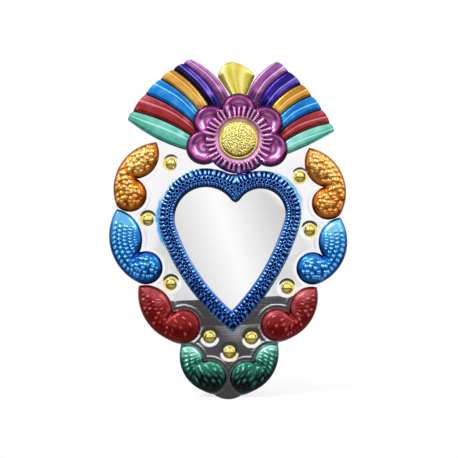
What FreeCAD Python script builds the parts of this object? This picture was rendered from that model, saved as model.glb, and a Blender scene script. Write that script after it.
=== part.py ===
import FreeCAD, Part
import Sketcher
import math
import os

# Heart mirror in pressed and lacquered tin, to hang on a wall.
# Millimetres. +X right, +Z up, the front looks to -Y and the wall is the plane y = 0.
# Every body is drawn in its own XY plane, which stands upright: its Y is up, its Z comes forward.

SIDES = ("left", "right")
LOBES = ("orange", "blue", "red", "green")
FEATHERS = ("purple", "indigo", "amber", "azure", "scarlet", "emerald")
PETALS = ("low_left", "high_left", "top", "high_right", "low_right")

SIZES = {
    # sheet and stack, from the wall forward
    "cover_sheet": 0.5,
    "card_thickness": 1.5,
    "glass_thickness": 2.0,
    "plate_thickness": 0.6,
    # heart window: a lobe arc and a longer side arc on each half
    "heart_left_x": -16.9,
    "heart_left_z": 23.2,
    "heart_left_r": 22.9,
    "heart_left_side_r": 142.0,
    "heart_left_turn": 19.2,
    "heart_right_x": 23.2,
    "heart_right_z": 26.9,
    "heart_right_r": 18.1,
    "heart_right_side_r": 158.0,
    "heart_right_turn": 16.1,
    "heart_cleft_round": 4.5,
    # outlines parallel to the heart window
    "opening_margin": 0.6,
    "glass_margin": 4.0,
    "glass_clearance": 0.3,
    "flange_width": 26.0,
    "bezel_width": 12.0,
    "bezel_height": 5.0,
    "bezel_outer_slope": 4.2,
    "bezel_inner_slope": 3.4,
    "bezel_channel_width": 2.8,
    "bezel_channel_depth": 0.8,
    "cover_round": 0.8,
    # where the lobes meet along the rim, from the top to the foot
    "left_rim_0_x": -53.2,
    "left_rim_0_z": 80.3,
    "left_rim_1_x": -82.5,
    "left_rim_1_z": 31.2,
    "left_rim_2_x": -66.3,
    "left_rim_2_z": -25.1,
    "left_rim_3_x": -35.4,
    "left_rim_3_z": -69.4,
    "left_rim_4_x": -10.8,
    "left_rim_4_z": -106.2,
    "right_rim_0_x": 58.8,
    "right_rim_0_z": 76.2,
    "right_rim_1_x": 81.8,
    "right_rim_1_z": 25.0,
    "right_rim_2_x": 64.5,
    "right_rim_2_z": -26.2,
    "right_rim_3_x": 36.0,
    "right_rim_3_z": -68.1,
    "right_rim_4_x": 8.9,
    "right_rim_4_z": -106.8,
    # the notch that parts each lobe into two swellings
    "left_orange_notch_x": -67.7,
    "left_orange_notch_z": 52.2,
    "left_blue_notch_x": -65.5,
    "left_blue_notch_z": -1.6,
    "left_red_notch_x": -40.9,
    "left_red_notch_z": -45.4,
    "left_green_notch_x": -18.5,
    "left_green_notch_z": -81.4,
    "right_orange_notch_x": 69.4,
    "right_orange_notch_z": 46.1,
    "right_blue_notch_x": 68.7,
    "right_blue_notch_z": -4.0,
    "right_red_notch_x": 44.2,
    "right_red_notch_z": -46.4,
    "right_green_notch_x": 18.2,
    "right_green_notch_z": -81.8,
    # how far the three arcs of a lobe stand off their chords
    "orange_rim_bow": 13.8,
    "orange_end_bow": 15.4,
    "orange_top_bow": 8.0,
    "blue_rim_bow": 12.6,
    "blue_end_bow": 17.3,
    "blue_top_bow": 8.7,
    "red_rim_bow": 11.0,
    "red_end_bow": 17.6,
    "red_top_bow": 7.6,
    "green_rim_bow": 10.2,
    "green_end_bow": 13.0,
    "green_top_bow": 5.5,
    "lobe_gap": 2.2,
    "lobe_height": 5.4,
    "lobe_round": 3.6,
    "plate_inset": 0.7,
    "foot_bow": 3.2,
    # flower
    "flower_x": 7.0,
    "flower_z": 80.9,
    "low_left_petal_angle": 191.7,
    "low_left_petal_ring_r": 26.2,
    "high_left_petal_angle": 148.0,
    "high_left_petal_ring_r": 24.2,
    "top_petal_angle": 90.0,
    "top_petal_ring_r": 21.2,
    "high_right_petal_angle": 31.5,
    "high_right_petal_ring_r": 23.0,
    "low_right_petal_angle": -16.5,
    "low_right_petal_ring_r": 24.2,
    "petal_r": 13.1,
    "petal_rim_height": 6.2,
    "petal_dish_depth": 2.0,
    "ruff_r": 25.0,
    "ruff_height": 6.4,
    "ruff_edge_height": 1.6,
    "flute_count": 36,
    "flute_r": 1.1,
    "seat_r": 15.0,
    "seat_height": 3.0,
    "seat_clearance": 0.8,
    "centre_height": 4.6,
    "centre_rim_height": 1.4,
    # fans of feathers, in degrees round the flower
    "left_fan_start_angle": 120.2,
    "left_purple_angle": 5.5,
    "left_indigo_angle": 7.1,
    "left_amber_angle": 9.3,
    "left_azure_angle": 11.8,
    "left_scarlet_angle": 11.0,
    "left_emerald_angle": 5.2,
    "left_fan_r": 67.8,
    "left_fan_end_r": 82.2,
    "left_fan_dip": 2.0,
    "left_fan_under_bow": 4.0,
    "left_root_start_angle": 101.0,
    "left_root_step_angle": 17.2,
    "right_fan_start_angle": 64.2,
    "right_purple_angle": 10.3,
    "right_indigo_angle": 12.3,
    "right_amber_angle": 10.6,
    "right_azure_angle": 11.1,
    "right_scarlet_angle": 9.6,
    "right_emerald_angle": 5.5,
    "right_fan_r": 63.6,
    "right_fan_end_r": 70.1,
    "right_fan_dip": 5.2,
    "right_fan_under_bow": 1.4,
    "right_root_start_angle": 79.5,
    "right_root_step_angle": 19.5,
    "root_r": 26.4,
    "feather_gap": 0.5,
    "feather_droop": 3.3,
    "fan_top_bow": 4.8,
    "feather_tip_bow": 1.0,
    "feather_edge_height": 0.9,
    "feather_ridge_height": 3.4,
    "feather_ridge_width": 0.8,
    "feather_tip_inset": 3.5,
    "crest_shoulder_r": 48.5,
    "crest_left_angle": 108.2,
    "crest_right_angle": 75.8,
    "crest_top_r": 57.3,
    "crest_top_angle": 94.5,
    "crest_left_bow": 3.0,
    "crest_right_bow": 1.9,
    "crest_root_r": 31.0,
    "crest_root_left_angle": 98.5,
    "crest_root_right_angle": 80.8,
    # domed studs and their shanks
    "stud_r": 4.2,
    "stud_height": 3.6,
    "shank_r": 1.0,
    "shank_clearance": 0.08,
    "tail_r": 2.0,
    "tail_height": 0.8,
    "stud_1_x": -42.5,
    "stud_1_z": 63.6,
    "stud_2_x": -59.5,
    "stud_2_z": 22.4,
    "stud_3_x": -42.5,
    "stud_3_z": -24.5,
    "stud_4_x": -14.1,
    "stud_4_z": -63.8,
    "stud_5_x": 0.3,
    "stud_5_z": -74.8,
    "stud_6_x": 16.6,
    "stud_6_z": -64.6,
    "stud_7_x": 42.5,
    "stud_7_z": -27.6,
    "stud_8_x": 59.2,
    "stud_8_z": 14.8,
    "stud_9_x": 52.1,
    "stud_9_z": 54.1,
    # hanger behind the flower
    "hanger_x": 0.0,
    "hanger_z": 84.0,
    "ring_wire_r": 1.0,
    "ring_clearance": 0.06,
    "ring_bar": 9.6,
    "ring_corner": 2.0,
    "ring_behind": 1.75,
    "strap_width": 8.0,
    "strap_length": 9.0,
    "strap_sheet": 0.5,
}
STUDS = 9

doc = FreeCAD.newDocument("heart_mirror")
sheet = doc.addObject("Spreadsheet::Sheet", "Sizes")
for row, (alias, amount) in enumerate(SIZES.items(), start=1):
    sheet.set(f"A{row}", alias.replace("_", " "))
    sheet.set(f"B{row}", str(amount))
    sheet.setAlias(f"B{row}", alias)
doc.recompute()

BACK_OF_PLATE = "(Sizes.cover_sheet + Sizes.card_thickness + Sizes.glass_thickness)"
FRONT_OF_PLATE = f"({BACK_OF_PLATE} + Sizes.plate_thickness)"


def number(formula):
    """Value of a formula on the sheet."""
    return float(sheet.evalExpression(formula))


def new_body(label, depth, x="0", z="0"):
    """Body whose XY plane stands upright, depth in front of the wall."""
    body = doc.addObject("PartDesign::Body", label)
    body.Label = label
    body.Placement = FreeCAD.Placement(
        FreeCAD.Vector(number(x), -number(depth), number(z)),
        FreeCAD.Rotation(FreeCAD.Vector(1, 0, 0), 90),
    )
    body.setExpression("Placement.Base.x", x)
    body.setExpression("Placement.Base.y", f"-({depth})")
    body.setExpression("Placement.Base.z", z)
    return body


def new_sketch(body, name, height="0", role="XY_Plane"):
    """Sketch on one of the body's own planes, lifted by height."""
    sketch = body.newObject("Sketcher::SketchObject", name)
    plane = next(f for f in body.Origin.OriginFeatures if f.Role == role)
    sketch.AttachmentSupport = [(plane, "")]
    sketch.MapMode = "FlatFace"
    sketch.AttachmentOffset.Base.z = number(height)
    sketch.setExpression("AttachmentOffset.Base.z", height)
    return sketch


def bind(sketch, kind, where, formula):
    """Driving constraint whose size is a formula."""
    index = sketch.addConstraint(Sketcher.Constraint(kind, *where, number(formula)))
    sketch.setExpression(f"Constraints[{index}]", formula)


def bind_point(sketch, geo, end, x, y):
    bind(sketch, "DistanceX", (geo, end), x)
    bind(sketch, "DistanceY", (geo, end), y)


def add_arc(sketch, centre, radius, start, finish):
    """Anticlockwise arc between two points on its circle."""
    first = math.atan2(start[1] - centre[1], start[0] - centre[0])
    last = math.atan2(finish[1] - centre[1], finish[0] - centre[0])
    if last <= first:
        last += 2 * math.pi
    circle = Part.Circle(FreeCAD.Vector(*centre, 0), FreeCAD.Vector(0, 0, 1), radius)
    return sketch.addGeometry(Part.ArcOfCircle(circle, first, last), False)


def add_outline(sketch, corners, bows):
    """Closed anticlockwise outline.

    corners are pairs of formulas; each bow is how far the edge after its corner
    stands outside its chord, negative for a hollow edge and None for a straight one.
    """
    points = [(number(x), number(y)) for x, y in corners]
    edges = []
    for i, bow in enumerate(bows):
        j = (i + 1) % len(corners)
        p, q = points[i], points[j]
        if bow is None:
            line = Part.LineSegment(FreeCAD.Vector(*p, 0), FreeCAD.Vector(*q, 0))
            edges.append((sketch.addGeometry(line, False), 1, 2))
            continue
        sag = number(bow)
        chord = math.dist(p, q)
        radius = chord**2 / (8 * abs(sag)) + abs(sag) / 2
        inward = (-(q[1] - p[1]) / chord, (q[0] - p[0]) / chord)
        reach = math.copysign(1, sag) * (radius - abs(sag))
        middle = ((p[0] + q[0]) / 2, (p[1] + q[1]) / 2)
        centre = (middle[0] + inward[0] * reach, middle[1] + inward[1] * reach)
        if sag > 0:
            edges.append((add_arc(sketch, centre, radius, p, q), 1, 2))
        else:
            edges.append((add_arc(sketch, centre, radius, q, p), 2, 1))
        (x0, y0), (x1, y1) = corners[i], corners[j]
        square = f"((({x1}) - ({x0}))^2 + (({y1}) - ({y0}))^2)"
        bind(sketch, "Radius", (edges[-1][0],), f"{square} / (8 * abs({bow})) + abs({bow}) / 2")
    for i, (geo, start, _) in enumerate(edges):
        before, _, finish = edges[i - 1]
        sketch.addConstraint(Sketcher.Constraint("Coincident", before, finish, geo, start))
        bind_point(sketch, geo, start, *corners[i])


def add_circle(sketch, x, y, radius):
    circle = Part.Circle(
        FreeCAD.Vector(number(x), number(y), 0), FreeCAD.Vector(0, 0, 1), number(radius)
    )
    geo = sketch.addGeometry(circle, False)
    bind(sketch, "Radius", (geo,), radius)
    bind_point(sketch, geo, 3, x, y)


def meeting(one, two, upper):
    """Upper or lower crossing of two circles given as (x, y, r)."""
    (x0, y0, r0), (x1, y1, r1) = one, two
    gap = math.hypot(x1 - x0, y1 - y0)
    along = (r0**2 - r1**2 + gap**2) / (2 * gap)
    off = math.sqrt(r0**2 - along**2)
    ux, uy = (x1 - x0) / gap, (y1 - y0) / gap
    spots = [(x0 + along * ux - s * off * uy, y0 + along * uy + s * off * ux) for s in (1, -1)]
    return max(spots, key=lambda s: s[1]) if upper else min(spots, key=lambda s: s[1])


def add_heart(sketch, margin):
    """Heart outline parallel to the window, margin outside it.

    The point between the lobes is rounded where the margin is less than its round.
    """
    circles = {}
    for side, inward in (("left", 1), ("right", -1)):
        name = f"Sizes.heart_{side}"
        span = f"({name}_side_r - {name}_r)"
        lobe = (f"{name}_x", f"{name}_z", f"{name}_r + ({margin})")
        flank = (
            f"{name}_x + {inward} * {span} * cos({name}_turn)",
            f"{name}_z + {span} * sin({name}_turn)",
            f"{name}_side_r + ({margin})",
        )
        circles[side] = (lobe, flank)
    value = {s: [tuple(number(f) for f in c) for c in pair] for s, pair in circles.items()}
    blunt = f"Sizes.heart_cleft_round - ({margin})"
    swell = max(number(blunt), 0.0)
    is_blunt = swell > 0.05
    lobes = [value[side][0] for side in SIDES]
    cleft = meeting(*[(x, y, r + swell * is_blunt) for x, y, r in lobes], True)
    ends = [cleft, cleft]
    if is_blunt:
        ends = [
            (x + (cleft[0] - x) * r / (r + swell), y + (cleft[1] - y) * r / (r + swell))
            for x, y, r in lobes
        ]
    tip = meeting(value["left"][1], value["right"][1], False)
    joints = {}
    for side in SIDES:
        (x, y, r), (flank_x, flank_y, flank_r) = value[side]
        reach = r / (flank_r - r)
        joints[side] = (x + (x - flank_x) * reach, y + (y - flank_y) * reach)
    runs = (
        ("left", 0, ends[0], joints["left"]),
        ("left", 1, joints["left"], tip),
        ("right", 1, tip, joints["right"]),
        ("right", 0, joints["right"], ends[1]),
    )
    arcs = []
    for side, which, start, finish in runs:
        x, y, r = value[side][which]
        geo = add_arc(sketch, (x, y), r, start, finish)
        formulas = circles[side][which]
        bind(sketch, "Radius", (geo,), formulas[2])
        bind(sketch, "DistanceY", (geo, 3), formulas[1])
        if which == 0:
            bind(sketch, "DistanceX", (geo, 3), formulas[0])
        arcs.append(geo)
    sketch.addConstraint(Sketcher.Constraint("Tangent", arcs[0], 2, arcs[1], 1))
    sketch.addConstraint(Sketcher.Constraint("Coincident", arcs[1], 2, arcs[2], 1))
    sketch.addConstraint(Sketcher.Constraint("Tangent", arcs[2], 2, arcs[3], 1))
    if is_blunt:
        nose = add_arc(sketch, cleft, swell, *ends)
        bind(sketch, "Radius", (nose,), blunt)
        sketch.addConstraint(Sketcher.Constraint("Tangent", arcs[3], 2, nose, 2))
        sketch.addConstraint(Sketcher.Constraint("Tangent", nose, 1, arcs[0], 1))
    else:
        sketch.addConstraint(Sketcher.Constraint("Coincident", arcs[3], 2, arcs[0], 1))


def pad(body, sketch, length, name):
    feature = body.newObject("PartDesign::Pad", name)
    feature.Profile = sketch
    feature.Length = number(length)
    feature.setExpression("Length", length)
    sketch.Visibility = False
    return feature


def pocket(body, sketch, name, depth=None):
    """Cut back from the sketch, by depth or right through."""
    feature = body.newObject("PartDesign::Pocket", name)
    feature.Profile = sketch
    if depth is None:
        feature.Type = "ThroughAll"
    else:
        feature.Length = number(depth)
        feature.setExpression("Length", depth)
    sketch.Visibility = False
    return feature


def revolve(body, sketch, name):
    """Full turn about the sketch's upright axis."""
    feature = body.newObject("PartDesign::Revolution", name)
    feature.Profile = sketch
    feature.ReferenceAxis = (sketch, ["V_Axis"])
    feature.Angle = 360.0
    sketch.Visibility = False
    return feature


def edges_at(feature, height):
    """Names of a feature's edges that lie level at a height."""
    doc.recompute()
    level = number(height)
    names = []
    for index, edge in enumerate(feature.Shape.Edges, start=1):
        box = edge.BoundBox
        if abs(box.ZMin - level) < 1e-4 and abs(box.ZMax - level) < 1e-4:
            names.append(f"Edge{index}")
    return names


def fillet(body, feature, names, radius, name):
    rounding = body.newObject("PartDesign::Fillet", name)
    rounding.Base = (feature, names)
    rounding.Radius = number(radius)
    rounding.setExpression("Radius", radius)
    return rounding


def cap_bow(reach, rise):
    """Bow of half the arc of a round cap, which meets its axis square."""
    square = f"(({reach})^2 + ({rise})^2)"
    ball = f"({square} / (2 * ({rise})))"
    return f"({ball} - sqrt({ball}^2 - {square} / 4))"


def rim(side, index):
    return f"Sizes.{side}_rim_{index}_x", f"Sizes.{side}_rim_{index}_z"


def around_flower(angle, radius):
    """Point at an angle and distance from the flower's middle."""
    x = f"Sizes.flower_x + ({radius}) * cos({angle})"
    z = f"Sizes.flower_z + ({radius}) * sin({angle})"
    return x, z


def fan_edge(side, index):
    """Angle and distance of the outer end of a line between feathers."""
    sign = "+" if side == "left" else "-"
    steps = [f"Sizes.{side}_{name}_angle" for name in FEATHERS]
    whole = " + ".join(steps)
    done = " + ".join(["0"] + steps[:index])
    part = f"(({done}) / ({whole}))"
    angle = f"(Sizes.{side}_fan_start_angle {sign} ({done}))"
    name = f"Sizes.{side}_fan"
    radius = f"({name}_r + ({name}_end_r - {name}_r) * {part} - {name}_dip * 4 * {part} * (1 - {part}))"
    return angle, radius


def root_edge(side, index):
    sign = "+" if side == "left" else "-"
    return f"(Sizes.{side}_root_start_angle {sign} {index} * Sizes.{side}_root_step_angle)"


def make_plate():
    """Base plate: the lobed outline in one sheet, with the heart window and the stud holes."""
    body = new_body("base_plate", BACK_OF_PLATE)
    outline = new_sketch(body, "plate_outline")
    tip_in = "Sizes.plate_inset"
    corners = []
    bows = []
    for side, order in (("left", range(5)), ("right", range(4, -1, -1))):
        angle, radius = fan_edge(side, len(FEATHERS))
        end = around_flower(angle, f"{radius} - 2 * {tip_in}")
        angle, radius = fan_edge(side, 0)
        start = around_flower(angle, f"{radius} - 2 * {tip_in}")
        shoulder = around_flower(f"Sizes.crest_{side}_angle", f"Sizes.crest_shoulder_r - 2 * {tip_in}")
        fan_bow = f"0.09 * Sizes.{side}_fan_r - Sizes.{side}_fan_dip - {tip_in}"
        rims = [rim(side, i) for i in order]
        lobe_bows = [f"Sizes.{name}_rim_bow - {tip_in}" for name in LOBES]
        if side == "left":
            corners += [shoulder, start, end] + rims
            bows += [None, fan_bow, None] + lobe_bows + ["Sizes.foot_bow"]
        else:
            corners += rims + [end, start, shoulder, crest_top(f"2 * {tip_in}")]
            bows += lobe_bows[::-1] + [None, fan_bow, None, "Sizes.crest_right_bow", "Sizes.crest_left_bow"]
    add_outline(outline, corners, bows)
    pad(body, outline, "Sizes.plate_thickness", "plate_sheet")
    window = new_sketch(body, "plate_window_outline", "Sizes.plate_thickness")
    add_heart(window, "Sizes.opening_margin")
    pocket(body, window, "plate_window")
    holes = new_sketch(body, "plate_hole_circles", "Sizes.plate_thickness")
    add_stud_circles(holes)
    pocket(body, holes, "plate_holes")
    return body


def add_stud_circles(sketch):
    for i in range(1, STUDS + 1):
        add_circle(
            sketch, f"Sizes.stud_{i}_x", f"Sizes.stud_{i}_z", "Sizes.shank_r + Sizes.shank_clearance"
        )


def make_bezel():
    """Raised frame round the glass: two rounded shoulders and a channel between them."""
    body = new_body("heart_bezel", FRONT_OF_PLATE)
    outside = []
    inside = []
    for turn in (0, 30, 60, 90):
        height = f"Sizes.bezel_height * sin({turn})"
        outer = new_sketch(body, f"bezel_outer_{turn}", height)
        add_heart(outer, f"Sizes.bezel_width - Sizes.bezel_outer_slope * (1 - cos({turn}))")
        outside.append(outer)
        inner = new_sketch(body, f"bezel_inner_{turn}", height)
        add_heart(inner, f"Sizes.bezel_inner_slope * (1 - cos({turn}))")
        inside.append(inner)
    loft(body, outside, "bezel_outer_shoulder")
    loft(body, inside, "bezel_inner_shoulder", "PartDesign::SubtractiveLoft")
    channel = new_sketch(body, "bezel_channel_outline", "Sizes.bezel_height")
    middle = "(Sizes.bezel_width + Sizes.bezel_inner_slope - Sizes.bezel_outer_slope) / 2"
    add_heart(channel, f"{middle} + Sizes.bezel_channel_width / 2")
    add_heart(channel, f"{middle} - Sizes.bezel_channel_width / 2")
    pocket(body, channel, "bezel_channel", "Sizes.bezel_channel_depth")
    return body


def make_glass():
    body = new_body("mirror_glass", "Sizes.cover_sheet + Sizes.card_thickness")
    outline = new_sketch(body, "glass_outline")
    add_heart(outline, "Sizes.glass_margin")
    pad(body, outline, "Sizes.glass_thickness", "glass_pane")
    return body


def make_card():
    body = new_body("backing_card", "Sizes.cover_sheet")
    outline = new_sketch(body, "card_outline")
    add_heart(outline, "Sizes.glass_margin")
    pad(body, outline, "Sizes.card_thickness", "card_board")
    return body


def make_cover():
    """Back cover: a pressed tray for the glass with a wide flange under the plate."""
    body = new_body("back_cover", "0")
    inside = "(Sizes.glass_margin + Sizes.glass_clearance)"
    tray = new_sketch(body, "cover_tray_outline")
    add_heart(tray, f"{inside} + Sizes.cover_sheet")
    block = pad(body, tray, BACK_OF_PLATE, "cover_tray")
    fillet(body, block, edges_at(block, "0"), "Sizes.cover_round", "cover_tray_round")
    flange = new_sketch(body, "cover_flange_outline", f"{BACK_OF_PLATE} - Sizes.cover_sheet")
    add_heart(flange, f"{inside} + Sizes.flange_width")
    pad(body, flange, "Sizes.cover_sheet", "cover_flange")
    hollow = new_sketch(body, "cover_hollow_outline", BACK_OF_PLATE)
    add_heart(hollow, inside)
    pocket(body, hollow, "cover_hollow", f"{BACK_OF_PLATE} - Sizes.cover_sheet")
    holes = new_sketch(body, "cover_hole_circles", BACK_OF_PLATE)
    add_stud_circles(holes)
    pocket(body, holes, "cover_holes", "2 * Sizes.cover_sheet")
    return body


def make_lobe(side, index):
    """Puffed leaf of the border: rim arc, round end, notch and top arc, with a rounded crown."""
    name = LOBES[index]
    body = new_body(f"lobe_{side}_{name}", FRONT_OF_PLATE)
    upper = rim(side, index)
    lower = rim(side, index + 1)
    tip = (upper[0], f"{upper[1]} - Sizes.lobe_gap / 2")
    heel = (lower[0], f"{lower[1]} + Sizes.lobe_gap / 2")
    notch = (f"Sizes.{side}_{name}_notch_x", f"Sizes.{side}_{name}_notch_z")
    corners = [tip, heel, notch]
    bows = [f"Sizes.{name}_{part}_bow" for part in ("rim", "end", "top")]
    if side == "right":
        corners = [tip, notch, heel]
        bows = bows[::-1]
    outline = new_sketch(body, f"{body.Label}_outline")
    add_outline(outline, corners, bows)
    block = pad(body, outline, "Sizes.lobe_height", f"{body.Label}_pad")
    crown = edges_at(block, "Sizes.lobe_height")
    fillet(body, block, crown, "Sizes.lobe_round", f"{body.Label}_crown")
    return body


def loft(body, sections, name, kind="PartDesign::AdditiveLoft"):
    """Straight-ruled skin through a stack of outlines."""
    feature = body.newObject(kind, name)
    feature.Profile = sections[0]
    feature.Sections = sections[1:]
    feature.Ruled = True
    for section in sections:
        section.Visibility = False
    return feature


def make_ridged(label, corners, bows, ridge, ridge_bows, clear):
    """Leaf with a low edge that rises to a narrow ridge, cut clear of the flower."""
    body = new_body(f"{label}_leaf", FRONT_OF_PLATE)
    outline = new_sketch(body, f"{label}_outline")
    add_outline(outline, corners, bows)
    pad(body, outline, "Sizes.feather_edge_height", f"{label}_edge")
    low = new_sketch(body, f"{label}_low", "Sizes.feather_edge_height")
    add_outline(low, corners, bows)
    high = new_sketch(body, f"{label}_high", "Sizes.feather_ridge_height")
    add_outline(high, ridge, ridge_bows)
    loft(body, [low, high], f"{label}_ridge")
    cut = doc.addObject("Part::Cut", label)
    cut.Base = body
    cut.Tool = clear
    cut.Label = label
    return cut


def make_feather(side, index, clear):
    sign = 1 if side == "left" else -1
    first, first_r = fan_edge(side, index)
    last, last_r = fan_edge(side, index + 1)
    root_first = root_edge(side, index)
    root_last = root_edge(side, index + 1)
    half = f"{sign * 180 / math.pi:.6f} * Sizes.feather_gap / 2"
    root = "Sizes.root_r"
    corners = [
        around_flower(f"{root_last} - {half} / {root}", root),
        around_flower(f"{root_first} + {half} / {root}", root),
        around_flower(f"{first} + {half} / {first_r}", first_r),
        around_flower(f"{last} - {half} / {last_r}", last_r),
    ]
    middle = f"(({first} + {last}) / 2)"
    middle_r = f"(({first_r} + {last_r}) / 2 - Sizes.feather_tip_inset)"
    root_middle = f"(({root_first} + {root_last}) / 2)"
    width = f"{sign * 180 / math.pi:.6f} * Sizes.feather_ridge_width / 2"
    ridge = [
        around_flower(f"{root_middle} + {width} / {root}", root),
        around_flower(f"{root_middle} - {width} / {root}", root),
        around_flower(f"{middle} - {width} / {middle_r}", middle_r),
        around_flower(f"{middle} + {width} / {middle_r}", middle_r),
    ]
    droop = "Sizes.feather_droop"
    upper = droop if index > 0 else "Sizes.fan_top_bow"
    under = f"-{droop}"
    if index == len(FEATHERS) - 1:
        under = f"Sizes.{side}_fan_under_bow"
    bows = [None, upper, "Sizes.feather_tip_bow", under]
    ridge_bows = [None, droop, None, f"-{droop}"]
    if side == "right":
        corners = [corners[1], corners[0], corners[3], corners[2]]
        ridge = [ridge[1], ridge[0], ridge[3], ridge[2]]
        bows = [None, under, "Sizes.feather_tip_bow", upper]
        ridge_bows = [None, f"-{droop}", None, droop]
    label = f"feather_{side}_{FEATHERS[index]}"
    return make_ridged(label, corners, bows, ridge, ridge_bows, clear)


def crest_top(inset):
    return around_flower("Sizes.crest_top_angle", f"Sizes.crest_top_r - {inset}")


def make_crest(clear):
    shoulder = "Sizes.crest_shoulder_r"
    root = "Sizes.crest_root_r"
    corners = [
        around_flower("Sizes.crest_root_left_angle", root),
        around_flower("Sizes.crest_root_right_angle", root),
        around_flower("Sizes.crest_right_angle", shoulder),
        crest_top("0"),
        around_flower("Sizes.crest_left_angle", shoulder),
    ]
    inset = "Sizes.feather_tip_inset"
    ridge = [
        around_flower("Sizes.crest_root_left_angle - 4", root),
        around_flower("Sizes.crest_root_right_angle + 4", root),
        around_flower("Sizes.crest_right_angle + 4", f"{shoulder} - {inset} / 2"),
        crest_top(inset),
        around_flower("Sizes.crest_left_angle - 4", f"{shoulder} - {inset} / 2"),
    ]
    bows = [None, None, "Sizes.crest_right_bow", "Sizes.crest_left_bow", None]
    return make_ridged("feather_crest", corners, bows, ridge, bows, clear)


def petal_middle(name):
    """Middle of a petal as seen from the flower's middle."""
    angle = f"Sizes.{name}_petal_angle"
    ring = f"Sizes.{name}_petal_ring_r"
    return f"{ring} * cos({angle})", f"{ring} * sin({angle})"


def make_clearance():
    """The room that the flower takes in the fan: its ruff and petals, one gap larger."""
    discs = [("0", "0", "Sizes.ruff_r")]
    discs += [(*petal_middle(name), "Sizes.petal_r") for name in PETALS]
    solids = []
    for i, (x, z, radius) in enumerate(discs):
        disc = doc.addObject("Part::Cylinder", f"flower_room_{i}")
        disc.Placement.Rotation = FreeCAD.Rotation(FreeCAD.Vector(1, 0, 0), 90)
        disc.setExpression("Radius", f"{radius} + Sizes.feather_gap")
        disc.setExpression("Height", "4 * Sizes.petal_rim_height")
        disc.setExpression("Placement.Base.x", f"Sizes.flower_x + {x}")
        disc.setExpression("Placement.Base.z", f"Sizes.flower_z + {z}")
        solids.append(disc)
    room = doc.addObject("Part::MultiFuse", "flower_room")
    room.Shapes = solids
    return room


def make_flower():
    """Flower: five dished petals round a fluted ruff, with a seat for the centre."""
    body = new_body("flower_petals", FRONT_OF_PLATE, "Sizes.flower_x", "Sizes.flower_z")
    radius = "Sizes.petal_r"
    height = "Sizes.petal_rim_height"
    corners = [
        ("0", "0"),
        (radius, "0"),
        (radius, f"0.2 * {height}"),
        (f"0.74 * {radius}", height),
        ("0", f"{height} - Sizes.petal_dish_depth"),
    ]
    dish = cap_bow(f"0.74 * {radius}", "Sizes.petal_dish_depth")
    bows = [None, None, f"0.2 * {height}", f"-{dish}", None]
    for name in PETALS:
        x, z = petal_middle(name)
        petal = new_sketch(body, f"{name}_petal_profile", f"-{z}", "XZ_Plane")
        petal.setExpression("AttachmentOffset.Base.x", x)
        add_outline(petal, corners, bows)
        revolve(body, petal, f"{name}_petal")
    room = new_sketch(body, "ruff_room_circle", f"2 * {height}")
    add_circle(room, "0", "0", "Sizes.ruff_r - 0.5")
    pocket(body, room, "ruff_room")
    ruff = new_sketch(body, "ruff_profile", role="XZ_Plane")
    crest_r = "(0.4 * Sizes.ruff_r + 0.6 * Sizes.seat_r)"
    corners = [
        ("0", "0"),
        ("Sizes.ruff_r", "0"),
        ("Sizes.ruff_r", "Sizes.ruff_edge_height"),
        (crest_r, "Sizes.ruff_height"),
        ("Sizes.seat_r", "Sizes.seat_height"),
        ("0", "Sizes.seat_height"),
    ]
    bows = [None, None, "0.2 * Sizes.ruff_height", "0.1 * Sizes.ruff_height", None, None]
    add_outline(ruff, corners, bows)
    revolve(body, ruff, "ruff")
    doc.recompute()
    flute = new_sketch(body, "flute_circle", "Sizes.ruff_r", "YZ_Plane")
    add_circle(flute, "0", "Sizes.ruff_height + 0.3 * Sizes.flute_r", "Sizes.flute_r")
    groove = pocket(body, flute, "flute", "Sizes.ruff_r - 0.8 * Sizes.seat_r")
    spin_pattern(body, groove, "flutes", "Sizes.flute_count", "360")
    return body


def make_centre():
    """Domed button with a thin rim in the seat of the flower."""
    depth = f"{FRONT_OF_PLATE} + Sizes.seat_height"
    body = new_body("flower_centre", depth, "Sizes.flower_x", "Sizes.flower_z")
    profile = new_sketch(body, "centre_profile", role="XZ_Plane")
    radius = "(Sizes.seat_r - Sizes.seat_clearance)"
    rim_height = "Sizes.centre_rim_height"
    corners = [
        ("0", "0"),
        (radius, "0"),
        (radius, rim_height),
        (f"0.92 * {radius}", rim_height),
        ("0", "Sizes.centre_height"),
    ]
    dome = cap_bow(f"0.92 * {radius}", f"Sizes.centre_height - {rim_height}")
    add_outline(profile, corners, [None, None, None, dome, None])
    revolve(body, profile, "centre_button")
    return body


def make_stud(index):
    """Domed stud: its shank goes through plate and cover and is peened over behind."""
    body = new_body(
        f"stud_{index}", FRONT_OF_PLATE, f"Sizes.stud_{index}_x", f"Sizes.stud_{index}_z"
    )
    profile = new_sketch(body, f"stud_{index}_profile", role="XZ_Plane")
    grip = "(Sizes.plate_thickness + Sizes.cover_sheet)"
    corners = [
        ("0", f"-{grip} - Sizes.tail_height"),
        ("0.7 * Sizes.tail_r", f"-{grip} - Sizes.tail_height"),
        ("Sizes.tail_r", f"-{grip}"),
        ("Sizes.shank_r", f"-{grip}"),
        ("Sizes.shank_r", "0"),
        ("Sizes.stud_r", "0"),
        ("0", "Sizes.stud_height"),
    ]
    dome = cap_bow("Sizes.stud_r", "Sizes.stud_height")
    add_outline(profile, corners, [None, None, None, None, None, dome, None])
    revolve(body, profile, f"stud_{index}_turned")
    return body


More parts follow.
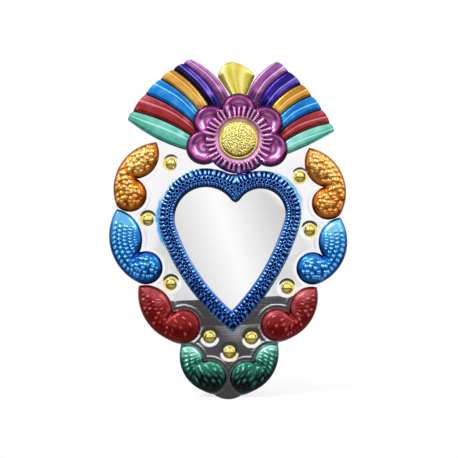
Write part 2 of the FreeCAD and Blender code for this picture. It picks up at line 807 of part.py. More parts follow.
def make_strap():
    """Hanger strap: a soldered foot with a rolled loop along its lower edge."""
    body = new_body(
        "hanger_strap", f"{BACK_OF_PLATE} - Sizes.ring_behind", "Sizes.hanger_x", "Sizes.hanger_z"
    )
    half = "Sizes.strap_width / 2"
    length = "Sizes.strap_length"
    foot = new_sketch(body, "strap_foot_outline", "Sizes.ring_behind - Sizes.strap_sheet")
    corners = [(f"-{half}", "0"), (half, "0"), (half, length), (f"-{half}", length)]
    add_outline(foot, corners, [None, None, "0.3 * Sizes.strap_width", None])
    pad(body, foot, "Sizes.strap_sheet", "strap_foot")
    roll = new_sketch(body, "strap_loop_outline", f"-{half}", "YZ_Plane")
    bore = "Sizes.ring_wire_r + Sizes.ring_clearance"
    add_circle(roll, "0", "0", f"{bore} + Sizes.strap_sheet")
    add_circle(roll, "0", "0", bore)
    pad(body, roll, "Sizes.strap_width", "strap_loop")
    return body


def make_ring():
    """D-shaped hanging ring of round wire, its bar in the strap's loop."""
    body = new_body(
        "hanger_ring", f"{BACK_OF_PLATE} - Sizes.ring_behind", "Sizes.hanger_x", "Sizes.hanger_z"
    )
    half = "(Sizes.ring_bar / 2)"
    turn = "Sizes.ring_corner"
    path = new_sketch(body, "ring_path")
    corners = [
        (half, "0"),
        (f"-{half}", "0"),
        (f"-{half} - {turn}", f"-{turn}"),
        ("0", f"-{half} - 2 * {turn}"),
        (f"{half} + {turn}", f"-{turn}"),
    ]
    corner_bow = f"{turn} * (1 - cos(45))"
    bow = f"({half} + {turn}) * (1 - cos(45))"
    add_outline(path, corners, [None, corner_bow, bow, bow, corner_bow])
    wire = new_sketch(body, "ring_wire", role="YZ_Plane")
    add_circle(wire, "0", "0", "Sizes.ring_wire_r")
    bent = body.newObject("PartDesign::AdditivePipe", "ring_bent_wire")
    bent.Profile = wire
    bent.Spine = path
    path.Visibility = False
    wire.Visibility = False
    return body


def spin_pattern(body, feature, name, count, angle):
    """Repeat a feature about the body's forward axis."""
    doc.recompute()
    pattern = body.newObject("PartDesign::PolarPattern", name)
    pattern.Originals = [feature]
    axis = next(f for f in body.Origin.OriginFeatures if f.Role == "Z_Axis")
    pattern.Axis = (axis, [""])
    pattern.Angle = number(angle)
    pattern.setExpression("Angle", angle)
    pattern.Occurrences = int(number(count))
    pattern.setExpression("Occurrences", count)
    body.Tip = pattern
    return pattern


nodes = [make_plate(), make_bezel(), make_glass(), make_card(), make_cover()]
for side in SIDES:
    for index in range(len(LOBES)):
        nodes.append(make_lobe(side, index))
flower_room = make_clearance()
for side in SIDES:
    for index in range(len(FEATHERS)):
        nodes.append(make_feather(side, index, flower_room))
nodes.append(make_crest(flower_room))
nodes += [make_flower(), make_centre(), make_strap(), make_ring()]
nodes += [make_stud(index) for index in range(1, STUDS + 1)]

doc.recompute()
for item in doc.Objects:
    if "Invalid" in item.State or "Error" in item.State:
        raise RuntimeError(f"{item.Name} did not build: {item.State}")
for node in nodes:
    if node.Shape.isNull() or not node.Shape.isValid() or len(node.Shape.Solids) != 1:
        raise RuntimeError(f"{node.Label} is not one sound solid")
os.makedirs("parts", exist_ok=True)
for node in nodes:
    node.Shape.exportStep(f"parts/{node.Label}.step")
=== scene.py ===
"""Looks of a heart mirror in pressed, chased and lacquered tin."""

import logging
import math
from dataclasses import dataclass, field
from enum import Enum
from functools import cache, partial
from typing import Callable

import bpy
import numpy as np
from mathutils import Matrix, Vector


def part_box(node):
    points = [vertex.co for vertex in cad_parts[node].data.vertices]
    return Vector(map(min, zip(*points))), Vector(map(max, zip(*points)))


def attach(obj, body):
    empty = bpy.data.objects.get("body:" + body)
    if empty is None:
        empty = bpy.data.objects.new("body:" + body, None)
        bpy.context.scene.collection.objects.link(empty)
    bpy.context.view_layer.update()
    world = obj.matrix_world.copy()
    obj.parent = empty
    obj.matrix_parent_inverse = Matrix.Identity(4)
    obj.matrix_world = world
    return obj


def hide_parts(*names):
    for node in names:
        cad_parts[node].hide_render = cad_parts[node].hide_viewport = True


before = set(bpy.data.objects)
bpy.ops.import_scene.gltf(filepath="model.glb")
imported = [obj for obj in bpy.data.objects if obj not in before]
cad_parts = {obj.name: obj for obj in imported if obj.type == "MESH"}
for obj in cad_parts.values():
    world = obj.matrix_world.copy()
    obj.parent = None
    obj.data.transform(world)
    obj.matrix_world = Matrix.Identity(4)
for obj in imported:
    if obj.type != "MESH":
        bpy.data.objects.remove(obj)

LOG = logging.getLogger("heart_mirror")
# Plans and heights are in millimetres, the frame is in metres.
MM = 0.001
PLATE_FRONT = 4.6
SUNK = 0.55
WELD = 4e-6
CUTTER_WELD = 1e-6
LEAF_CREASE = math.radians(50)
PLATE_CREASE = math.radians(40)
FAR = 1e9
STAGGER = 0.87
LOOSENESS = 0.45
NOISE_LOW, NOISE_HIGH = 0.3, 0.7
MIX_ONE, MIX_TWO, MIX_OUT = 6, 7, 2

Array = np.ndarray
Piece = bpy.types.Object
Socket = bpy.types.NodeSocket
Point = tuple[float, float]
Triple = tuple[float, float, float]
Colour = Triple
Display = tuple[int, int, int]
Sheet = tuple[Array, Array, Array, Array]
Form = Callable[[Array, Array], Sheet]


class Side(Enum):
    """Half of the mirror as the viewer sees it; the value is its turning sense."""

    LEFT = 1
    RIGHT = -1

    @property
    def pick(self) -> int:
        """Place of this half's size in a pair of sizes."""
        return 0 if self is Side.LEFT else 1


class Chasing(Enum):
    """Punched or chased filling of a leaf.

    The values are the pitches of rows and marks, and the bands from the rim and from the inner
    outline in which the marks come up.
    """

    PEBBLES = (3.7, 3.7, (0.6, 2.2), (2.2, 4.4))
    DOTS = (3.9, 4.1, (1.0, 2.4), (2.6, 4.6))
    STROKES = (3.7, 4.2, (2.0, 3.4), (4.4, 6.0))
    RIBS = (4.4, 4.1, (1.0, 2.8), (1.4, 3.4))


def srgb(red: int, green: int, blue: int) -> Colour:
    """Linear colour of a display colour given in 0 to 255."""
    shares = [c / 255 for c in (red, green, blue)]
    return tuple(c / 12.92 if c < 0.04045 else ((c + 0.055) / 1.055) ** 2.4 for c in shares)


def ease(low: float, high: float, amount: Array) -> Array:
    """Smooth rise from 0 at low to 1 at high."""
    share = np.clip((amount - low) / (high - low), 0, 1)
    return share * share * (3 - 2 * share)


def hump(amount: Array, width: float) -> Array:
    """Soft bump of height 1 around zero."""
    return np.exp(-((amount / width) ** 2))


def bead(distance: Array, radius: float) -> Array:
    """Round rise from 0 at the radius to 1 in the middle."""
    return np.clip(1 - (distance / radius) ** 2, 0, 1)


def shoulder(distance: Array, width: float) -> Array:
    """Quarter-round rise from 0 at the edge to 1 at the width."""
    share = 1 - np.clip(distance / width, 0, 1)
    return np.sqrt(np.clip(1 - share * share, 0, 1))


def to_mark(phase: Array) -> Array:
    """Signed share of a pitch from the nearest mark."""
    return (phase + 0.5) % 1 - 0.5


def crowd(share: Array) -> Array:
    """Even shares drawn together towards both ends."""
    return 0.5 - 0.5 * np.cos(math.pi * share)


def nearest(x: Array, z: Array, spots: Array) -> Array:
    """Distance from each point to the nearest of a set of spots.

    Args:
        x: First coordinates of the points.
        z: Second coordinates of the points.
        spots: Spots as an array of pairs.

    Returns:
        One distance for each point.
    """
    best = np.full(x.shape, FAR)
    for spot_x, spot_z in spots:
        best = np.minimum(best, (x - spot_x) ** 2 + (z - spot_z) ** 2)
    return np.sqrt(best)


def scatter(low: Point, high: Point, pitch: float, seed: int) -> Array:
    """Hand-set punch spots: a staggered lattice with each spot a little off.

    Args:
        low: Lowest corner of the area.
        high: Highest corner of the area.
        pitch: Mean distance between spots.
        seed: Seed of the unevenness.

    Returns:
        Spots as an array of pairs.
    """
    chance = np.random.default_rng(seed)
    spots = []
    for row, z in enumerate(np.arange(low[1], high[1], pitch * STAGGER)):
        for x in np.arange(low[0] + (row % 2) * pitch / 2, high[0], pitch):
            spots.append((x, z))
    spread = chance.uniform(-LOOSENESS, LOOSENESS, (len(spots), 2)) * pitch
    return np.array(spots) + spread


@dataclass(frozen=True)
class Bow:
    """Arc between two points that stands off its chord.

    The sag is positive where the arc bulges to the right of the way from start to finish.
    """

    start: Point
    finish: Point
    sag: float

    def circle(self) -> Triple:
        """Work out the arc's circle.

        Returns:
            Centre and radius.
        """
        (x0, z0), (x1, z1) = self.start, self.finish
        chord = math.dist(self.start, self.finish)
        radius = chord**2 / (8 * abs(self.sag)) + abs(self.sag) / 2
        reach = math.copysign(1, self.sag) * (radius - abs(self.sag)) / chord
        return (x0 + x1) / 2 - (z1 - z0) * reach, (z0 + z1) / 2 + (x1 - x0) * reach, radius

    def sweep(self) -> tuple[float, float]:
        """Work out where the arc starts and how far it turns.

        Returns:
            First angle and signed turn, in radians.
        """
        x, z, _ = self.circle()
        first = math.atan2(self.start[1] - z, self.start[0] - x)
        last = math.atan2(self.finish[1] - z, self.finish[0] - x)
        if self.sag > 0:
            return first, (last - first) % math.tau
        return first, -((first - last) % math.tau)

    def length(self) -> float:
        """Length along the arc."""
        return abs(self.sweep()[1]) * self.circle()[2]

    def points(self, share: Array) -> tuple[Array, Array]:
        """Points on the arc.

        Args:
            share: Shares of the way along the arc.

        Returns:
            Their two plan coordinates.
        """
        x, z, radius = self.circle()
        first, turn = self.sweep()
        return x + radius * np.cos(first + turn * share), z + radius * np.sin(first + turn * share)

    def away(self, x: Array, z: Array) -> Array:
        """Distance of points from the arc, on either side of it.

        Args:
            x: First plan coordinates.
            z: Second plan coordinates.

        Returns:
            One distance for each point.
        """
        centre_x, centre_z, radius = self.circle()
        first, turn = self.sweep()
        angle = (np.arctan2(z - centre_z, x - centre_x) - first) * math.copysign(1, turn)
        ring = np.abs(np.hypot(x - centre_x, z - centre_z) - radius)
        ends = nearest(x, z, np.array((self.start, self.finish)))
        return np.where(angle % math.tau <= abs(turn), ring, ends)


class Bench:
    """Node tree of a finish or of the room, with short calls to add and join its nodes."""

    def __init__(self, owner: bpy.types.Material | bpy.types.World) -> None:
        """Take up the owner's node tree."""
        owner.use_nodes = True
        self.owner, self.tree = owner, owner.node_tree

    @property
    def shader(self) -> bpy.types.Node:
        """Principled shader of a finish."""
        return self.tree.nodes["Principled BSDF"]

    def feed(self, node: bpy.types.Node, inputs: dict[str | int, object]) -> bpy.types.Node:
        """Join sockets to a node's inputs and set plain values on its own sockets.

        Args:
            node: The node to feed.
            inputs: Sockets, numbers and colours by the input's name or place.

        Returns:
            The same node.
        """
        for key, value in inputs.items():
            target = node.inputs[key]
            if isinstance(value, Socket):
                self.tree.links.new(value, target)
            else:
                target.default_value = (*value, 1) if target.type == "RGBA" else value
        return node

    def add(self, kind: str, inputs: dict[str | int, object], **settings: object) -> bpy.types.Node:
        """Add a node.

        Args:
            kind: Kind of shader node.
            inputs: What its inputs get.
            settings: Its own settings.

        Returns:
            The new node.
        """
        node = self.tree.nodes.new(f"ShaderNode{kind}")
        for name, value in settings.items():
            setattr(node, name, value)
        return self.feed(node, inputs)

    def coords(self, scale: Triple = (1, 1, 1), turn: Triple = (0, 0, 0)) -> Socket:
        """Object coordinates, stretched and turned."""
        place = self.add("TexCoord", {}).outputs["Object"]
        return self.add("Mapping", {"Vector": place, "Scale": scale, "Rotation": turn}).outputs["Vector"]

    def noise(self, place: Socket, scale: float, detail: float) -> Socket:
        """Cloudy value between 0 and 1."""
        return self.add("TexNoise", {"Vector": place, "Scale": scale, "Detail": detail}).outputs["Fac"]

    def named(self, name: str) -> Socket:
        """Number stored on the mesh under a name."""
        return self.add("Attribute", {}, attribute_name=name).outputs["Fac"]

    def span(self, value: Socket, low: float, high: float, to_low: float, to_high: float) -> Socket:
        """Value carried from one range to another."""
        return self.add("MapRange", dict(enumerate((value, low, high, to_low, to_high)))).outputs[0]

    def sum(self, one: Socket, two: Socket) -> Socket:
        """Sum of two values, held between 0 and 1."""
        return self.add("Math", {0: one, 1: two}, operation="ADD", use_clamp=True).outputs[0]

    def larger(self, one: Socket, two: Socket) -> Socket:
        """Larger of two values."""
        return self.add("Math", {0: one, 1: two}, operation="MAXIMUM").outputs[0]

    def blend(self, share: Socket, one: Colour | Socket, two: Colour) -> Socket:
        """Colour between two, by a share."""
        return self.add("Mix", {0: share, MIX_ONE: one, MIX_TWO: two}, data_type="RGBA").outputs[MIX_OUT]

    def bump(self, value: Socket, strength: float, depth: float) -> None:
        """Tilt the shader's normal by a value."""
        node = self.add("Bump", {"Height": value, "Strength": strength, "Distance": depth})
        self.feed(self.shader, {"Normal": node.outputs["Normal"]})

    def grade(self, share: Socket, stops: list[tuple[float, Colour]]) -> Socket:
        """Run through colours by a share.

        Args:
            share: How far along the run.
            stops: Places from 0 to 1, each with its colour.

        Returns:
            The colour socket.
        """
        node = self.add("ValToRGB", {"Fac": share})
        steps = node.color_ramp.elements
        steps.remove(steps[1])
        for index, (where, colour) in enumerate(stops):
            step = steps[0] if index == 0 else steps.new(where)
            step.position = where
            step.color = (*colour, 1)
        return node.outputs["Color"]


@dataclass(frozen=True)
class Lacquer:
    """Translucent gloss lacquer over bright tin: pale where thin or painted as highlight, deep where it
    pools or painted as shade.
    """

    name: str
    thin: Display
    body: Display
    thick: Display
    roughness: float = 0.24
    grain: float = 0.1
    coat: float = 0.06
    cloud: float = 0.1
    metal: float = 0.75
    cloud_scale: float = 160.0
    wipe_scale: float = 900.0
    grain_scale: float = 1300.0
    grain_depth: float = 0.0003
    wipes: Point = (-0.05, 0.06)
    coat_roughness: float = 0.05
    coat_ior: float = 1.5

    @cache
    def material(self) -> bpy.types.Material:
        """Mix this lacquer, once.

        Returns:
            The material.
        """
        bench = Bench(bpy.data.materials.new(self.name))
        place = bench.coords()
        cloud = bench.noise(place, self.cloud_scale, 3)
        uneven = bench.span(cloud, NOISE_LOW, NOISE_HIGH, -self.cloud, self.cloud)
        tones = [srgb(*tone) for tone in (self.thin, self.body, self.thick)]
        # The stored number is lacquer depth together with painted highlights and painted shade.
        colour = bench.grade(bench.sum(bench.named("pool"), uneven), list(zip((0.0, 0.5, 1.0), tones)))
        wipe = bench.noise(place, self.wipe_scale, 2)
        limits = [self.roughness + change for change in self.wipes]
        rough = bench.span(wipe, NOISE_LOW, NOISE_HIGH, *limits)
        bench.bump(bench.noise(place, self.grain_scale, 2), self.grain, self.grain_depth)
        bench.feed(bench.shader, {
            "Base Color": colour, "Roughness": rough, "Metallic": self.metal,
            "Coat Weight": self.coat, "Coat Roughness": self.coat_roughness, "Coat IOR": self.coat_ior,
        })
        return bench.owner


@dataclass(frozen=True)
class Tin:
    """Bare tinned sheet with fine brushing and faint handling marks."""

    name: str
    colour: Colour
    roughness: float
    brushing: float
    runs: tuple[tuple[str, Colour], ...] = ()
    brush_scale: Triple = (18, 18, 1500)
    brush_depth: float = 0.00012
    brushed: Point = (0.75, 1.3)
    cloud_range: Point = (0.35, 0.75)
    cloud_scale: float = 45.0
    worn: float = 0.93

    @cache
    def material(self) -> bpy.types.Material:
        """Roll this sheet, once.

        Returns:
            The material.
        """
        bench = Bench(bpy.data.materials.new(self.name))
        lines = bench.noise(bench.coords(self.brush_scale), 1.0, 4)
        cloud = bench.noise(bench.coords(), self.cloud_scale, 4)
        worn = tuple(c * self.worn for c in self.colour)
        colour = bench.blend(bench.span(cloud, *self.cloud_range, 0, 1), self.colour, worn)
        for run, tint in self.runs:
            colour = bench.blend(bench.named(run), colour, tint)
        limits = [self.roughness * change for change in self.brushed]
        rough = bench.span(lines, NOISE_LOW, NOISE_HIGH, *limits)
        bench.bump(lines, self.brushing, self.brush_depth)
        bench.feed(bench.shader, {"Base Color": colour, "Roughness": rough, "Metallic": 1.0})
        return bench.owner


@dataclass(frozen=True)
class LookingGlass:
    """Silvered pane with a trace of green and faint wipe marks."""

    name: str = "silvered_glass"
    colour: Colour = (0.994, 0.997, 0.996)
    wiped: float = 0.985
    wipe_scale: Triple = (40, 40, 90)
    wipe_turn: Triple = (0, 0.6, 0)
    wipe_range: Point = (0.3, 0.75)
    roughness: Point = (0.015, 0.045)

    def material(self) -> bpy.types.Material:
        """Silver the pane.

        Returns:
            The material.
        """
        bench = Bench(bpy.data.materials.new(self.name))
        wipe = bench.noise(bench.coords(self.wipe_scale, self.wipe_turn), 1.0, 3)
        paler = tuple(c * self.wiped for c in self.colour)
        colour = bench.blend(wipe, self.colour, paler)
        rough = bench.span(wipe, *self.wipe_range, *self.roughness)
        bench.feed(bench.shader, {"Base Color": colour, "Roughness": rough, "Metallic": 1.0})
        return bench.owner


@dataclass(frozen=True)
class PulpBoard:
    """Grey-brown backing board with flecks of fibre."""

    name: str = "pulp_board"
    pale: Colour = srgb(186, 164, 132)
    dark: Colour = srgb(138, 116, 88)
    fibre_stretch: Triple = (1, 1, 3)
    fibre_scale: float = 420.0
    fibre_depth: float = 0.0002
    relief: float = 0.35
    roughness: float = 0.85

    def material(self) -> bpy.types.Material:
        """Press the board.

        Returns:
            The material.
        """
        bench = Bench(bpy.data.materials.new(self.name))
        fibre = bench.noise(bench.coords(self.fibre_stretch), self.fibre_scale, 5)
        bench.bump(fibre, self.relief, self.fibre_depth)
        colour = bench.blend(fibre, self.pale, self.dark)
        bench.feed(bench.shader, {"Base Color": colour, "Roughness": self.roughness})
        return bench.owner


LACQUERS: dict[str, Lacquer] = {
    "lobe_orange": Lacquer("orange_lacquer", (255, 204, 118), (216, 118, 22), (120, 38, 0), metal=0.85),
    "lobe_blue": Lacquer("blue_lacquer", (136, 220, 255), (26, 124, 216), (0, 28, 104), metal=0.85),
    "lobe_red": Lacquer("red_lacquer", (240, 136, 142), (142, 14, 18), (88, 0, 2), 0.28, metal=0.65),
    "lobe_green": Lacquer("green_lacquer", (184, 255, 236), (34, 136, 110), (0, 16, 22), metal=0.6),
    "bezel_blue": Lacquer("bezel_lacquer", (150, 212, 255), (34, 104, 210), (0, 2, 40), 0.22, metal=1.0),
    "magenta": Lacquer("magenta_lacquer", (255, 210, 252), (178, 82, 162), (72, 4, 50), 0.2, 0.05),
    "gold": Lacquer("gold_lacquer", (255, 242, 160), (232, 210, 108), (122, 96, 22), 0.18),
    "yellow": Lacquer("yellow_lacquer", (255, 246, 156), (234, 212, 82), (182, 154, 26), 0.2, 0.02),
} | {
    f"feather_{tint}": Lacquer(f"{tint}_lacquer", *tones, 0.22, 0.04)
    for tint, tones in {
        "purple": ((244, 208, 248), (174, 102, 178), (100, 42, 92)),
        "indigo": ((160, 136, 252), (48, 28, 152), (18, 4, 56)),
        "amber": ((255, 218, 130), (226, 158, 52), (122, 80, 12)),
        "azure": ((136, 230, 255), (22, 138, 230), (4, 72, 152)),
        "scarlet": ((220, 144, 156), (172, 42, 48), (102, 20, 24)),
        "emerald": ((188, 250, 240), (92, 198, 176), (50, 88, 78)),
    }.items()
}
STUD_GOLD = Lacquer("stud_lacquer", (252, 228, 124), (226, 190, 80), (150, 110, 24), 0.2, metal=0.9)
BLUE_RUN = ("blue_run", (0.08, 0.44, 0.95))
GOLD_RUN = ("gold_run", srgb(242, 220, 116))
PLATE_TIN = Tin("bright_tin", srgb(250, 250, 253), 0.06, 0.06, (BLUE_RUN, GOLD_RUN))
PLATE_BACK = Tin("dull_tin", srgb(164, 166, 171), 0.4, 0.35)
BACK_TIN = Tin("rolled_tin", srgb(206, 207, 210), 0.3, 0.3)
RING_WIRE = Tin("drawn_wire", srgb(188, 189, 192), 0.24, 0.15)


def clear_selection() -> None:
    """Leave edit mode and select nothing."""
    if bpy.context.object is not None and bpy.context.object.mode != "OBJECT":
        bpy.ops.object.mode_set(mode="OBJECT")
    bpy.ops.object.select_all(action="DESELECT")


def open_up(piece: Piece) -> None:
    """Go into edit mode on one piece, with its whole mesh selected.

    Args:
        piece: The piece to work on.
    """
    clear_selection()
    bpy.context.view_layer.objects.active = piece
    piece.select_set(True)
    bpy.ops.object.mode_set(mode="EDIT")
    bpy.ops.mesh.select_all(action="SELECT")


def add_grid(name: str, columns: int, rows: int) -> Piece:
    """Add a flat grid, one unit wide and deep.

    Args:
        name: Name of the new piece and of its mesh.
        columns: Faces along the grid.
        rows: Faces across the grid.

    Returns:
        The grid.
    """
    clear_selection()
    bpy.ops.mesh.primitive_grid_add(x_subdivisions=columns, y_subdivisions=rows, size=1.0)
    piece = bpy.context.object
    piece.name = piece.data.name = name
    return piece


def read_points(piece: Piece) -> Array:
    """Read the mesh points of a piece.

    Args:
        piece: The piece.

    Returns:
        The points as rows of three.
    """
    flat = np.empty(len(piece.data.vertices) * 3, np.float32)
    piece.data.vertices.foreach_get("co", flat)
    return flat.reshape(-1, 3).astype(float)


def set_points(piece: Piece, points: Array) -> None:
    """Set the mesh points of a piece from rows of three."""
    piece.data.vertices.foreach_set("co", points.astype(np.float32).ravel())
    piece.data.update()


def lay_points(piece: Piece, x: Array, z: Array, height: Array) -> None:
    """Set the mesh points from plan and height over the plate."""
    set_points(piece, np.column_stack((x, -(PLATE_FRONT + height), z)) * MM)


def paint(piece: Piece, name: str, amount: Array) -> None:
    """Store one number for each mesh point under a name that the finish reads."""
    layer = piece.data.attributes.new(name, "FLOAT", "POINT")
    layer.data.foreach_set("value", np.clip(amount, 0, 1).astype(np.float32))


def close_back(piece: Piece, rims: int) -> None:
    """Weld a pressed sheet, turn its rim down into the plate and close its back.

    Args:
        piece: The open sheet.
        rims: One for a leaf, two for a frame with a window.
    """
    open_up(piece)
    bpy.ops.mesh.remove_doubles(threshold=WELD)
    bpy.ops.mesh.select_mode(type="EDGE")
    bpy.ops.mesh.select_all(action="DESELECT")
    bpy.ops.mesh.select_non_manifold(
        extend=False, use_wire=False, use_boundary=True, use_multi_face=False,
        use_non_contiguous=False, use_verts=False,
    )
    bpy.ops.mesh.extrude_edges_move()
    bpy.ops.transform.resize(value=(1, 0, 1), center_override=(0, -(PLATE_FRONT - SUNK) * MM, 0))
    if rims == 1:
        bpy.ops.mesh.edge_face_add()
    else:
        bpy.ops.mesh.bridge_edge_loops()
    bpy.ops.mesh.select_all(action="SELECT")
    bpy.ops.mesh.normals_make_consistent(inside=False)
    bpy.ops.object.mode_set(mode="OBJECT")
    bpy.ops.object.shade_smooth_by_angle(angle=LEAF_CREASE)
    clear_selection()


def dress(piece: Piece, *materials: bpy.types.Material) -> None:
    """Give a piece its finishes in place of any it has.

    Args:
        piece: The piece.
        materials: One material for each of its slots.
    """
    piece.data.materials.clear()
    for material in materials:
        piece.data.materials.append(material)


def hand_over(piece: Piece, node: str) -> None:
    """Let a dressed piece stand for a solid of the frame and tell the log.

    Args:
        piece: The finished piece.
        node: Solid of the same place, hidden from now on.
    """
    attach(piece, "frame")
    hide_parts(node)
    LOG.info("%s: %d faces", piece.name, len(piece.data.polygons))


def press(name: str, grid: tuple[int, int], form: Form, node: str, slot: str, rims: int = 1) -> None:
    """Press a lacquered piece over a form and let it stand for its solid.

    Args:
        name: Name of the new piece.
        grid: Faces along and across the sheet.
        form: Gives plan, height over the plate, and depth of lacquer with painted light and shade, from
            the two grid shares.
        node: Solid of the same place.
        slot: Material slot of the record, which also names the lacquer.
        rims: One for a leaf, two for a frame with a window.
    """
    piece = add_grid(name, *grid)
    flat = read_points(piece)
    x, z, height, pool = form(flat[:, 0] + 0.5, flat[:, 1] + 0.5)
    lay_points(piece, x, z, height)
    paint(piece, "pool", pool)
    close_back(piece, rims)
    dress(piece, LACQUERS[slot].material())
    hand_over(piece, node)


@dataclass(frozen=True)
class Lobe:
    """Puffed leaf of the border, notched on its inner side and filled with chasing.

    The pools are the lacquer on raised marks and between them, and a painted shade that deepens it from
    top to foot.
    """

    side: Side
    tint: str
    chasing: Chasing
    tip: Point
    heel: Point
    notch: Point
    rim_bow: float
    end_bow: float
    top_bow: float
    pools: Triple
    height: float = 5.0
    roll: float = 5.2
    gap: float = 2.2
    grid: tuple[int, int] = (200, 92)
    pebble: float = 2.2
    pebble_seed: int = 11
    loose_dot: float = 1.9
    loose_pitch: float = 3.6
    dot_seed: int = 21

    def arcs(self) -> tuple[Bow, Bow, Bow]:
        """Draw the outline, each arc from the tip towards the heel.

        Returns:
            Rim, top and end arcs.
        """
        sense = self.side.value
        tip = (self.tip[0], self.tip[1] - self.gap / 2)
        heel = (self.heel[0], self.heel[1] + self.gap / 2)
        return (
            Bow(tip, heel, sense * self.rim_bow),
            Bow(tip, self.notch, -sense * self.top_bow),
            Bow(self.notch, heel, -sense * self.end_bow),
        )

    def away(self, x: Array, z: Array) -> tuple[Array, Array]:
        """Distances from the rim and from the inner outline."""
        rim, top, end = self.arcs()
        return rim.away(x, z), np.minimum(top.away(x, z), end.away(x, z))

    def in_end(self, x: Array, z: Array) -> Array:
        """Whether points lie in the swelling at the end."""
        end_x, end_z, radius = self.arcs()[2].circle()
        return np.hypot(x - end_x, z - end_z) < radius - 1.0

    def from_spots(self, x: Array, z: Array, pitch: float, seed: int) -> Array:
        """Distance from the nearest of this leaf's hand-set spots."""
        low, high = (x.min(), z.min()), (x.max(), z.max())
        return nearest(x, z, scatter(low, high, pitch, seed + self.side.value))

    def lattice(self, x: Array, z: Array) -> tuple[Array, Array, Array]:
        """Ways across and along the chasing, and the way from the tip.

        The rows follow the rim, and turn round with the outline in the swelling at the end.

        Args:
            x: First plan coordinates.
            z: Second plan coordinates.

        Returns:
            Way in from the outline, way along the row and way along the rim.
        """
        rim, _, end = self.arcs()
        centre_x, centre_z, radius = rim.circle()
        turn = np.arctan2(z - centre_z, x - centre_x) - rim.sweep()[0]
        along = np.abs((turn + math.pi) % math.tau - math.pi) * radius
        end_x, end_z, end_r = end.circle()
        from_end = np.hypot(x - end_x, z - end_z)
        spin = np.arctan2(z - end_z, (x - end_x) * self.side.value)
        in_end = self.in_end(x, z)
        across = np.where(in_end, end_r - from_end, rim.away(x, z))
        return across, np.where(in_end, spin * (0.4 * from_end + 0.6 * end_r), along), along

    def filling(self, x: Array, z: Array) -> tuple[Array, Array]:
        """Height of the chasing, and how much it thins the lacquer, with a painted sheen on the ribbed
        leaves.

        Args:
            x: First plan coordinates.
            z: Second plan coordinates.

        Returns:
            Height over the puffed form, and thinness of the lacquer with that painted sheen.
        """
        row_pitch, pitch, rim_band, inner_band = self.chasing.value
        from_rim, from_inner = self.away(x, z)
        mask = ease(*rim_band, from_rim) * ease(*inner_band, from_inner)
        across, way, along = self.lattice(x, z)
        in_end = self.in_end(x, z)
        waver = 0.5 * np.sin(0.31 * x + 0.9) + 0.5 * np.sin(0.27 * z + 0.4)
        if self.chasing is Chasing.PEBBLES:
            stone = bead(self.from_spots(x, z, pitch, self.pebble_seed), self.pebble)
            return 0.8 * stone * mask, stone * mask
        if self.chasing is Chasing.DOTS:
            row = across / row_pitch + waver * 0.1
            phase = way / pitch + waver * 0.25 + 0.5 * (np.floor(row + 0.5) % 2)
            dot = (0.5 + 0.5 * np.cos(math.tau * phase)) * (0.5 + 0.5 * np.cos(math.tau * row))
            loose = bead(self.from_spots(x, z, self.loose_pitch, self.dot_seed), self.loose_dot)
            dot = np.where(in_end, loose, dot)
            mask = mask * ease(5, 15, along)
            return dot * mask, dot * mask + 0.35 * (1 - ease(6, 16, along))
        if self.chasing is Chasing.STROKES:
            row = from_rim / row_pitch + waver * 0.12
            free = (x * self.side.value + 0.3 * z) / pitch
            phase = np.where(in_end, free, way / pitch) + waver * 0.35
            phase = phase + 0.5 * (np.floor(row + 0.5) % 2)
            stroke = hump(to_mark(phase), 0.17) * hump(to_mark(row), 0.3)
            uneven = 0.55 + 0.45 * np.sin(1.7 * np.floor(row + 0.5) + 2.3 * np.floor(phase + 0.5))
            mark = stroke * mask * uneven
            lines = hump(from_inner - 2.6, 0.3) + 0.7 * hump(from_inner - 3.9, 0.3)
            lines = lines * ease(2.0, 4.0, from_rim)
            return 0.65 * mark + 0.2 * lines, 0.95 * mark + 0.4 * lines
        row = from_rim / row_pitch + waver * 0.2
        slant = along + 0.35 * from_rim
        free = x * self.side.value + 0.4 * z + 0.5 * np.floor(row + 0.5) % 2
        phase = np.where(in_end, free, slant) / pitch + waver * 0.3
        rib = hump(to_mark(phase), 0.24) * (0.55 + 0.45 * np.cos(math.tau * row))
        uneven = 0.75 + 0.25 * np.sin(2.1 * np.floor(row + 0.5) + 1.3 * np.floor(phase + 0.5))
        mark = rib * uneven * mask
        # Painted sheen: the ribbed leaves are drawn paler along their inner outline.
        painted_sheen = hump(from_inner - 1.6, 0.9) * ease(2.0, 5.0, from_rim)
        return 0.8 * mark, 1.1 * mark + 0.55 * painted_sheen

    def crease(self, x: Array, z: Array) -> Array:
        """Short fold that runs in from the notch.

        Args:
            x: First plan coordinates.
            z: Second plan coordinates.

        Returns:
            Share of the fold, 1 at its deepest.
        """
        centre_x, centre_z, radius = self.arcs()[0].circle()
        off = np.array((self.notch[0] - centre_x, self.notch[1] - centre_z))
        room = radius - math.hypot(*off)
        out = off / math.hypot(*off)
        inward = (x - self.notch[0]) * out[0] + (z - self.notch[1]) * out[1]
        aside = (x - self.notch[0]) * out[1] - (z - self.notch[1]) * out[0]
        return hump(aside, 1.5) * (1 - ease(0.2 * room, 0.6 * room, inward)) * (inward > -3)

